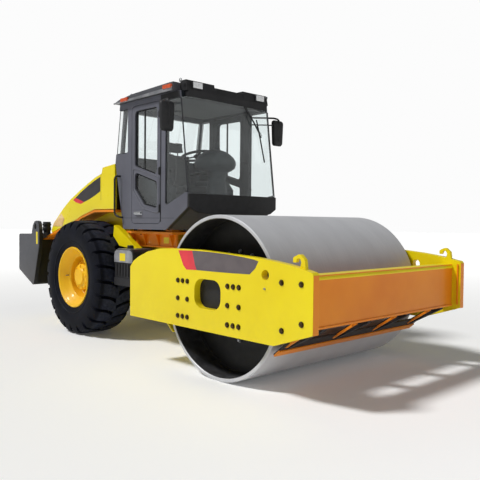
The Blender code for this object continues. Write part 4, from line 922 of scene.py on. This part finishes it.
def seal(name, outline, y, body, wide=0.012, thick=0.010):
    """A rubber seal round a pane: a band just inside an outline, both sides of the glass."""
    mesh = bmesh.new()
    centre = sum((Vector(p) for p in outline), Vector((0, 0))) / len(outline)
    inner = []
    for i, point in enumerate(outline):
        here = Vector(point)
        back, on = Vector(outline[i - 1]), Vector(outline[(i + 1) % len(outline)])
        one, two = (here - back).normalized(), (on - here).normalized()
        first, second = Vector((-one.y, one.x)), Vector((-two.y, two.x))
        if first.dot(centre - here) < 0:
            first, second = -first, -second
        bisector = (first + second).normalized()
        inner.append(here + bisector * wide / max(0.3, bisector.dot(first)))
    layers = []
    for offset in (y - thick / 2, y + thick / 2):
        layers.append([[mesh.verts.new((p[0], offset, p[1])) for p in ring] for ring in (outline, inner)])
    count = len(outline)
    for i in range(count):
        j = (i + 1) % count
        (a, b), (c, d) = layers
        mesh.faces.new((a[i], a[j], b[j], b[i]))
        mesh.faces.new((c[i], c[j], d[j], d[i]))
        mesh.faces.new((a[i], a[j], c[j], c[i]))
        mesh.faces.new((b[i], b[j], d[j], d[i]))
    return set_on(shape(name, mesh), body, rubber, slot="rubber")


def cornered(outline, radius, steps=5):
    """The outline with rounded corners."""
    points = []
    for i, corner in enumerate(outline):
        here = Vector(corner)
        back = (Vector(outline[i - 1]) - here).normalized()
        on = (Vector(outline[(i + 1) % len(outline)]) - here).normalized()
        reach = radius / math.tan(back.angle(on) / 2)
        a, b = here + back * reach, here + on * reach
        for k in range(steps + 1):
            t = k / steps
            points.append(tuple(a * (1 - t) ** 2 + here * 2 * t * (1 - t) + b * t ** 2))
    return points


def swept(points, radius, bends, closed=False):
    """The mesh of a round wire along points: a closed loop, or open with capped ends."""
    curve = bpy.data.curves.new("wire", "CURVE")
    curve.dimensions = "3D"
    curve.bevel_depth = radius
    curve.bevel_resolution = bends
    curve.use_fill_caps = not closed
    spline = curve.splines.new("POLY")
    spline.points.add(len(points) - 1)
    for spot, place in zip(spline.points, points):
        spot.co = (*place, 1)
    spline.use_cyclic_u = closed
    holder = bpy.data.objects.new("wire", curve)
    scene.collection.objects.link(holder)
    bpy.context.view_layer.update()
    data = evaluated(holder)
    bpy.data.objects.remove(holder, do_unlink=True)
    return data


UPPER = [(-0.105, 2.105), (0.345, 1.975), (0.345, 2.75), (-0.105, 2.75)]
LOWER = [(-0.105, 2.035), (-0.105, 1.84), (0.09, 1.645), (0.345, 1.60), (0.345, 1.905)]
QUARTER = [(0.500, 1.625), (0.862, 1.770), (0.896, 1.770), (0.767, 2.798), (0.500, 2.798)]
REAR_QUARTER = [(-0.255, 2.272), (-0.255, 2.797), (-0.437, 2.797), (-0.513, 2.272)]
for side in (-1, 1):
    name = mirrored(side)
    y = side * 0.644
    seal("door_seal_upper_" + name, cornered(UPPER, 0.05), y, "door_" + name)
    seal("door_seal_lower_" + name, cornered(LOWER, 0.04), y, "door_" + name, 0.018)
    seal("quarter_seal_" + name, cornered(QUARTER, 0.012), side * 0.656, "chassis", 0.007)
    seal("rear_quarter_seal_" + name, cornered(REAR_QUARTER, 0.012), side * 0.656, "chassis", 0.007)
    pane = outlined("door_lower_pane_" + name, cornered(LOWER, 0.035), *between(side, 0.640, 0.648))
    set_on(pane, "door_" + name, glass, slot="glass")
    pane = outlined("rear_quarter_pane_" + name, cornered(REAR_QUARTER, 0.010), *between(side, 0.652, 0.660))
    set_on(pane, "chassis", glass, slot="glass")
    pane = outlined("front_quarter_pane_" + name, cornered(QUARTER, 0.010), *between(side, 0.652, 0.660))
    set_on(pane, "chassis", glass, "front_quarter_glass_" + name)

    # The raised rim round the door's lower pane.
    rim_line = cornered([(-0.140, 2.085), (-0.140, 1.82), (0.075, 1.600), (0.385, 1.545), (0.385, 1.955)], 0.05)
    made = swept([(x, side * 0.669, z) for x, z in rim_line], 0.009, 3, True)
    pressed = bpy.data.objects.new("door_pressed_rim_" + name, made)
    scene.collection.objects.link(pressed)
    set_on(pressed, "door_" + name, grey, slot="grey")

    # Sliding pane divider, handle, hinges and the black strip at the hinge side.
    divider = box("door_divider_" + name, (0.060, 0.082), (side * 0.634, side * 0.652), (2.05, 2.745), 0.003)
    set_on(divider, "door_" + name, black_plastic, slot="dark")
    grip = [box("plate", (-0.107, 0.050), (side * 0.669, side * 0.676), (1.530, 1.572), 0.004),
            box("lever", (-0.080, 0.045), (side * 0.688, side * 0.702), (1.540, 1.564), 0.006),
            box("neck", (-0.080, -0.050), (side * 0.675, side * 0.692), (1.543, 1.561), 0.003)]
    grip = joined("door_handle_" + name, grip)
    set_on(grip, "door_" + name, hard_chrome, slot="chrome")
    hinges = []
    for z in (1.60, 2.02, 2.66):
        hinges.append(lathed("knuckle", [(0.0, z - 0.045), (0.010, z - 0.045), (0.010, z + 0.045), (0.0, z + 0.045)],
                             (0.405, side * 0.678, 0), "Z", 20))
        hinges.append(box("leaf", (0.370, 0.405), (side * 0.6695, side * 0.6755), (z - 0.035, z + 0.035), 0.002))
    hinges = joined("door_hinges_" + name, hinges)
    set_on(hinges, "door_" + name, black_paint, slot="dark")
    post_strip = box("post_strip_" + name, (0.4105, 0.424), (side * 0.6702, side * 0.6735), (1.45, 2.80), 0.001)
    set_on(post_strip, "chassis", rubber, slot="rubber")
    # Thin black lines along the press line are its painted shadow.
    *cab_lines, door_line = [
        outlined("line", [(x, 1.490), (x + wide, 1.490), (x + wide, 1.494), (x, 1.494)],
                 *between(side, 0.6695, 0.6705))
        for x, wide in ((-0.345, 0.175), (0.415, 0.25), (-0.16, 0.56))]
    door_line.name = "door_press_line_" + name
    set_on(door_line, "door_" + name, black_paint, slot="dark")
    set_on(joined("cab_press_line_" + name, cab_lines), "chassis", black_paint, slot="dark")

# Thin dark trims where the bowed windscreen meets the side panes. LEAN is the screen's slope, back over up.
LEAN = (0.90 - 0.76) / (2.87 - 1.755)
for side in (-1, 1):
    trim = [(0.896, 1.765), (0.910, 1.765), (0.910 - LEAN * 1.035, 2.80), (0.896 - LEAN * 1.035, 2.80)]
    obj = softened(outlined("windscreen_trim_" + mirrored(side), trim, *between(side, 0.660, 0.670)), 0.003)
    set_on(obj, "chassis", dark_grey, slot="grey")
    band = [(0.415, 2.797), (0.763, 2.797), (0.754, 2.866), (0.415, 2.866)]
    band = outlined("cab_top_band_" + mirrored(side), band, *between(side, CAB_SKIN, 0.673))
    set_on(band, "chassis", black_plastic, slot="dark")


# ---- Roof -----------------------------------------------------------------------------------------------
# A dark grey roof with a silver-grey rain gutter, a deep black visor that holds two white work lamps,
# amber marker lamps on its sides and four lifting eyes.
finished("cab_roof", dark_grey, 0.008)
finished("roof_visor", black_plastic, 0.010, segments=3)
for side in (-1, 1):
    name = mirrored(side)
    gutter = [(-0.475, 2.868), (-0.475, 2.884), (0.69, 2.912), (0.69, 2.868)]
    gutter = softened(outlined("roof_gutter_" + name, gutter, *between(side, 0.715, 0.735)), 0.003)
    set_on(gutter, "chassis", zinc_grey, slot="grey")

# Lenses: amber and clear polycarbonate with a moulded grid of ribs.
amber, tree, shader, where = material("amber_lens", "#F2571B", 0.15, 0.0, 0.5)
shader.inputs["Transmission Weight"].default_value = 0.25
ribs = add(tree, "ShaderNodeTexWave", {"Vector": where, "Scale": 40.0}, bands_direction="X")
raised(tree, shader, ribs.outputs[1], 0.002, 0.5)
tinted(tree, shader, ribs.outputs[1], "#E2480F", "#FA6A2A", 0.1, 0.9)
clear_lens, tree, shader, where = material("clear_lens", "#F4F5F6", 0.12, 0.0, 0.6)
cells = add(tree, "ShaderNodeTexVoronoi", {"Vector": where, "Scale": 90.0})
raised(tree, shader, cells.outputs[0], 0.002, 0.5)
tinted(tree, shader, cells.outputs[0], "#FFFFFF", "#D9DDE0", 0.0, 0.9)
for side in (-1, 1):
    name = mirrored(side)
    for x, z, tag in ((-0.240, 2.896, "rear"), (0.612, 2.919, "front")):
        marker = box("marker_" + tag + "_" + name, (x - 0.075, x + 0.075), (side * 0.70, side * 0.745),
                     (z - 0.022, z + 0.022), 0.008)
        set_on(marker, "chassis", amber, slot="dark")
    frame_of_lamp = box("work_lamp_frame_" + name, (0.800, 0.830), (side * 0.480 - 0.075, side * 0.480 + 0.075),
                        (2.893, 2.977), 0.005)
    set_on(frame_of_lamp, "chassis", black_plastic, slot="dark")
    work = box("work_lamp_" + name, (0.810, 0.836), (side * 0.480 - 0.064, side * 0.480 + 0.064), (2.903, 2.969),
               0.004)
    set_on(work, "chassis", clear_lens, slot="glass")


def rounded(points, steps=5):
    """Points with each inner corner rounded off."""
    line = [Vector(points[0])]
    for before, here, after in zip(map(Vector, points), map(Vector, points[1:]), map(Vector, points[2:])):
        reach = min((before - here).length, (after - here).length, 0.09) * 0.48
        a = here + (before - here).normalized() * reach
        b = here + (after - here).normalized() * reach
        for k in range(steps + 1):
            t = k / steps
            line.append(a * (1 - t) ** 2 + here * 2 * t * (1 - t) + b * t ** 2)
    return line + [Vector(points[-1])]


def bar(name, points, radius, bends=4, smooth=True):
    """A round bar along points, with closed ends."""
    mesh = bmesh.new()
    mesh.from_mesh(swept(rounded(points) if smooth else points, radius, bends))
    return shape(name, mesh, 50)


eyes = []
for side in (-1, 1):
    for x, z in ((-0.20, 2.930), (0.755, 2.972)):
        ring = lathed("eye", [(0.018 + 0.005 * math.cos(a * math.pi / 4),
                               0.005 * math.sin(a * math.pi / 4)) for a in range(8)],
                      (0, 0, 0), "Y", 28)
        ring.data.transform(Matrix.Translation((x, side * 0.66, z + 0.018 - (0.012 if x > 0 else 0))))
        foot = lathed("foot", [(0.0, z - 0.010), (0.014, z - 0.010), (0.012, z + 0.002), (0.0, z + 0.002)],
                      (x, side * 0.66, 0), "Z", 20)
        eyes.append(merged(ring, foot))
eyes = joined("lifting_eyes", eyes)
set_on(eyes, "chassis", zinc, slot="steel")
lining = softened(outlined("headliner", [(-0.36, 2.835), (0.695, 2.835), (0.695, 2.866), (-0.36, 2.866)], -0.60,
                           0.60), 0.006)
# Needle-felt headliner, dark grey, with a fine fuzzy bump.
felt, tree, shader, where = material("grey_felt", "#2D3236", 0.95)
shader.inputs["Sheen Weight"].default_value = 0.2
fuzz = speckle(tree, where, 160.0, 6.0)
raised(tree, shader, fuzz.outputs[0], 0.001, 0.6)
tinted(tree, shader, fuzz.outputs[0], "#282C30", "#363B40")
set_on(lining, "chassis", felt, slot="fabric")


# ---- Mirrors, handrails and wipers --------------------------------------------------------------------
# Black moulded mirror shells on bent tubes, black grab rails by the rear posts, and one long wiper
# hung from the visor.

# Silvered mirror glass: a full reflection, blurred a little by smears.
silver, tree, shader, where = material("silvered_glass", "#C9CDD0", metal=1.0)
smear = add(tree, "ShaderNodeMapRange", {0: speckle(tree, where, 12.0, 5.0).outputs[0], 3: 0.03, 4: 0.09})
tree.links.new(smear.outputs[0], shader.inputs["Roughness"])
for side in (-1, 1):
    name = mirrored(side)
    y = side * 0.850
    arm = bar("mirror_arm_" + name, [(0.455, side * CAB_SKIN, 2.78), (0.455, side * 0.72, 2.78),
                                     (0.74, side * 0.825, 2.755),
              (0.80, y, 2.73), (0.80, y, 2.47)], 0.011)
    lower = bar("arm", [(0.465, side * CAB_SKIN, 2.69), (0.465, side * 0.72, 2.69), (0.76, side * 0.835, 2.665),
                        (0.80, y, 2.655)], 0.008)
    foot = box("foot", (0.435, 0.485), (side * CAB_SKIN, side * 0.682), (2.67, 2.80), 0.004)
    set_on(merged(arm, lower, foot), "chassis", black_paint, "mirror_" + name, slot="dark")
    rings = []
    for x, grow in ((0.792, 0.30), (0.796, 0.72), (0.808, 0.93), (0.825, 1.0), (0.846, 0.985), (0.852, 0.93)):
        ring = cornered([(y - 0.076 * grow, 2.565 - 0.158 * grow), (y + 0.076 * grow, 2.565 - 0.158 * grow),
                         (y + 0.092 * grow, 2.565 + 0.158 * grow), (y - 0.092 * grow, 2.565 + 0.158 * grow)],
                         0.036 * grow)
        rings.append([(x, a, b) for a, b in ring])
    head = lofted("mirror_shell_" + name, rings, 50)
    head.data.transform(Matrix.Translation((0.80, y, 0)) @ Matrix.Rotation(math.pi, 4,
            "Z") @ Matrix.Translation((-0.80, -y, 0)))
    set_on(head, "chassis", black_plastic, slot="dark")
    pane = cornered([(y - 0.064, 2.42), (y + 0.064, 2.42), (y + 0.078, 2.71), (y - 0.078, 2.71)], 0.03)
    set_on(outlined("mirror_glass_" + name, pane, 0.7445, 0.7490, "X"), "chassis", silver, slot="glass")
    y_in, y_out = side * CAB_SKIN, side * 0.74
    rail = bar("handrail_tube_" + name, [(-0.42, y_in, 2.00), (-0.42, y_out - side * 0.012, 2.00),
                                         (-0.435, y_out, 1.970),
               (-0.435, y_out, 1.535), (-0.362, y_out - side * 0.018, 1.500), (-0.362, y_in, 1.500)], 0.012)
    set_on(rail, "chassis", black_paint, "handrail_" + name)


def on_screen(y, z, off=0.0):
    """A point on the bowed windscreen's outside, or off it."""
    return (0.9083 - LEAN * (z - 1.755) + 0.06 * (1 - (y / 0.67) ** 2) + off, y, z)


top, tip, low, high = (0.20, 2.80), (0.46, 2.46), (0.41, 2.67), (0.50, 2.17)
arm = bar("wiper_arm_left", [on_screen(*top, 0.012), on_screen((top[0] + tip[0]) / 2, (top[1] + tip[1]) / 2, 0.03),
          on_screen(*tip, 0.026)], 0.006, 3)
arm2 = bar("arm", [on_screen(top[0] + 0.03, top[1], 0.012), on_screen(tip[0] + 0.012, tip[1] + 0.02, 0.028)], 0.004,
           3)
blade = bar("blade", [on_screen(*low, 0.012), on_screen((low[0] + high[0]) / 2, (low[1] + high[1]) / 2, 0.014),
            on_screen(*high, 0.012)], 0.008, 3)
set_on(joined("wiper_left", [arm, arm2, blade]), "chassis", rubber, slot="rubber")


# ---- Inside of the cab ----------------------------------------------------------------------------------
# A sprung seat trimmed in dark cloth, a moulded steering console with its wheel, side boxes with
# levers, and grab rails behind the glass.

# Woven cloth: dark and matt, with an over-and-under weave.
cloth, tree, shader, where = material("dark_woven_cloth", "#202327", 0.9)
shader.inputs["Sheen Weight"].default_value = 0.15
warp = add(tree, "ShaderNodeTexWave", {"Vector": where, "Scale": 55.0, "Distortion": 1.0}, bands_direction="Y")
weft = add(tree, "ShaderNodeTexWave", {"Vector": where, "Scale": 55.0, "Distortion": 1.0}, bands_direction="Z")
weave = add(tree, "ShaderNodeMath", {0: warp.outputs[1], 1: weft.outputs[1]}, operation="MULTIPLY")
raised(tree, shader, weave.outputs[0], 0.0012, 0.6)
tinted(tree, shader, weave.outputs[0], "#191C1F", "#2B2F33", 0.1, 0.8)


def cushion(name, outline, low, high, axis, crown):
    """A stuffed pad: a rounded slab that cloth pressure swells, flat where it is held."""
    pad = outlined(name, outline, low, high, axis)
    remesh = pad.modifiers.new("Remesh", "REMESH")
    remesh.mode = "VOXEL"
    remesh.voxel_size = 0.007
    start = evaluated(pad)
    pad.modifiers.clear()
    pad.data = start
    before = [v.co.copy() for v in pad.data.vertices]
    puff = pad.modifiers.new("Cloth", "CLOTH")
    puff.settings.effector_weights.gravity = 0.0
    puff.settings.use_pressure = True
    puff.settings.uniform_pressure_force = 4.0
    puff.point_cache.frame_start, puff.point_cache.frame_end = 1, 20
    for k in range(1, 21):
        scene.frame_set(k)
    data = evaluated(pad)
    pad.modifiers.clear()
    for vertex, old in zip(data.vertices, before):
        moved = vertex.co - old
        if moved.length > crown:
            vertex.co = old + moved.normalized() * crown
    pad.data = data
    scene.frame_set(1)
    fine = pad.modifiers.new("Subdivision", "SUBSURF")
    fine.levels = fine.render_levels = 1
    bpy.context.view_layer.update()
    data = evaluated(pad)
    pad.modifiers.clear()
    pad.data = data
    data.shade_smooth()
    set_on(pad, "chassis", cloth, slot="fabric")
    return pad


base = box("seat_base", (-0.09, 0.25), (-0.20, 0.20), (CAB_FLOOR_TOP, 1.745), 0.012)
pan = box("pan", (-0.20, 0.29), (-0.245, 0.245), (1.745, 1.785), 0.012)
bellows = [box("fold", (-0.10 - 0.01 * (k % 2), 0.26 + 0.01 * (k % 2)), (-0.21, 0.21),
               (1.56 + 0.03 * k, 1.585 + 0.03 * k), 0.006)
           for k in range(6)]
back_shell = softened(outlined("back_shell", [(-0.245, 1.78), (-0.205, 1.78), (-0.245, 2.30), (-0.283, 2.30)], -0.225,
                               0.225), 0.012)
set_on(merged(base, pan, back_shell, *bellows), "chassis", black_plastic, "seat")
cushion("seat_cushion", [(-0.16, 1.790), (0.30, 1.800), (0.305, 1.850), (0.28, 1.875), (-0.16, 1.860)], -0.235, 0.235,
        "Y", 0.018)
cushion("seat_backrest", [(-0.195, 1.87), (-0.125, 1.87), (-0.150, 2.20), (-0.180, 2.305), (-0.225, 2.305),
                          (-0.225, 2.20)],
        -0.215, 0.215, "Y", 0.016)
cushion("seat_headrest", [(-0.262, 2.335), (-0.185, 2.335), (-0.205, 2.455), (-0.262, 2.455)], -0.12, 0.12, "Y",
        0.012)
posts = [bar("post", [(-0.225, y, 2.28), (-0.225, y, 2.345)], 0.007, 3, False) for y in (-0.06, 0.06)]
rests = [box("armrest", (-0.16, 0.16), (side * 0.265, side * 0.325), (2.05, 2.095), 0.015) for side in (-1, 1)]
rests += [box("stalk", (-0.20, -0.14), (side * 0.240, side * 0.290), (2.045, 2.085), 0.008) for side in (-1, 1)]
rests = joined("seat_armrests", posts + rests)
set_on(rests, "chassis", black_plastic, slot="dark")

# Console: a folded pedestal under a domed instrument hood of soft grey-black moulding.
moulding, tree, shader, where = material("soft_grey_moulding", "#262B30", 0.55)
raised(tree, shader, add(tree, "ShaderNodeTexVoronoi", {"Vector": where, "Scale": 260.0}).outputs[0], 0.0005, 0.4)
tinted(tree, shader, speckle(tree, where, 10.0).outputs[0], "#22272B", "#30363B")
pedestal = ((1.60, 0.46, 0.74, 0.17), (1.80, 0.50, 0.70, 0.125), (1.95, 0.52, 0.68, 0.105), (2.03, 0.53, 0.69, 0.12),
                        (2.055, 0.43, 0.72, 0.19), (2.085, 0.38, 0.765, 0.228), (2.13, 0.36, 0.78, 0.238),
                        (2.17, 0.37, 0.775, 0.232),
                        (2.21, 0.40, 0.755, 0.205), (2.25, 0.43, 0.715, 0.165), (2.28, 0.47, 0.67, 0.120),
                        (2.298, 0.51, 0.62, 0.07))
rings = []
for z, x0, x1, half in pedestal:
    cx, rx = (x0 + x1) / 2, (x1 - x0) / 2
    rings.append([(cx + rx * math.copysign(abs(math.cos(a)) ** 0.75, math.cos(a)),
                   half * math.copysign(abs(math.sin(a)) ** 0.75, math.sin(a)), z)
                  for a in (2 * math.pi * k / 40 for k in range(40))])
hood_of_console = lofted("console_hood", rings, 60)
foot = box("foot", (0.40, 0.60), (-0.12, 0.12), (CAB_FLOOR_TOP, 1.60), 0.012)
shelf = softened(outlined("shelf", [(0.20, 2.165), (0.44, 2.195), (0.48, 2.12), (0.22, 2.10)], -0.05, 0.05), 0.010)
top_knob = lathed("knob", [(0.0, 2.285), (0.044, 2.285), (0.038, 2.315), (0.032, 2.330), (0.036, 2.350),
                           (0.030, 2.382), (0.012, 2.392), (0.0, 2.393)],
                  (0.565, 0.03, 0), "Z", 24)
set_on(merged(hood_of_console, foot, shelf, top_knob), "chassis", moulding, "steering_console")
tilt = math.atan2(0.03, 0.13)
hub = Vector((0.265 - 0.0753 * math.sin(tilt), 0, 2.18 + 0.0753 * math.cos(tilt)))
wheel = lathed("steering_wheel_rim", [(0.19 + 0.0155 * math.cos(a * math.pi / 5), 0.0155 * math.sin(a * math.pi / 5))
               for a in range(10)], (0, 0, 0), "Z", 72)
spokes = []
for k in range(3):
    spoke = softened(outlined("spoke", [(0.03, -0.010), (0.185, -0.004), (0.185, 0.006), (0.03, 0.004)], -0.014,
                              0.014), 0.003)
    spoke.data.transform(Matrix.Rotation(math.radians(90 + 120 * k), 4, "Z"))
    spokes.append(spoke)
boss = lathed("boss", [(0.0, -0.072), (0.026, -0.072), (0.030, -0.03), (0.050, -0.012), (0.052, 0.006),
                       (0.040, 0.014), (0.0, 0.016)],
              (0, 0, 0), "Z", 36)
wheel = merged(wheel, boss, *spokes)
wheel.data.transform(Matrix.Translation(hub) @ Matrix.Rotation(-tilt, 4, "Y"))
set_on(wheel, "chassis", black_plastic, "steering_wheel")

# Side boxes, drive levers, grab rails and the floor mat.
for side in (-1, 1):
    name = mirrored(side)
    chest = softened(outlined("side_box_" + name, [(-0.22, CAB_FLOOR_TOP), (0.28, CAB_FLOOR_TOP), (0.30, 1.86),
                                                   (0.20, 1.97), (-0.22, 1.99)],
                              *between(side, 0.34, 0.56)), 0.025, 3)
    set_on(chest, "chassis", moulding, slot="dark")
    stick = bar("lever", [(0.18, side * 0.42, 1.96), (0.20, side * 0.42, 2.06), (0.22, side * 0.415, 2.12)], 0.008)
    knob = lathed("knob", [(0.0, 2.10), (0.016, 2.105), (0.022, 2.13), (0.020, 2.155), (0.010, 2.170), (0.0, 2.172)],
                  (0.22, side * 0.415, 0), "Z", 20)
    lever = joined("drive_lever_" + name, [stick, knob])
    set_on(lever, "chassis", black_plastic, slot="dark")
    rail = bar("inner_rail_" + name, [(0.56, side * 0.606, 1.86), (0.56, side * 0.56, 1.88),
                                      (0.56, side * 0.555, 2.14),
               (0.50, side * 0.558, 2.20), (0.44, side * 0.56, 2.20), (0.44, side * 0.606, 2.20)], 0.011)
    set_on(rail, "chassis", black_paint, slot="dark")
mat = box("floor_mat", (-0.26, 0.47), (-0.58, 0.58), (CAB_FLOOR_TOP, 1.428), 0.002)
set_on(mat, "chassis", rubber, slot="rubber")
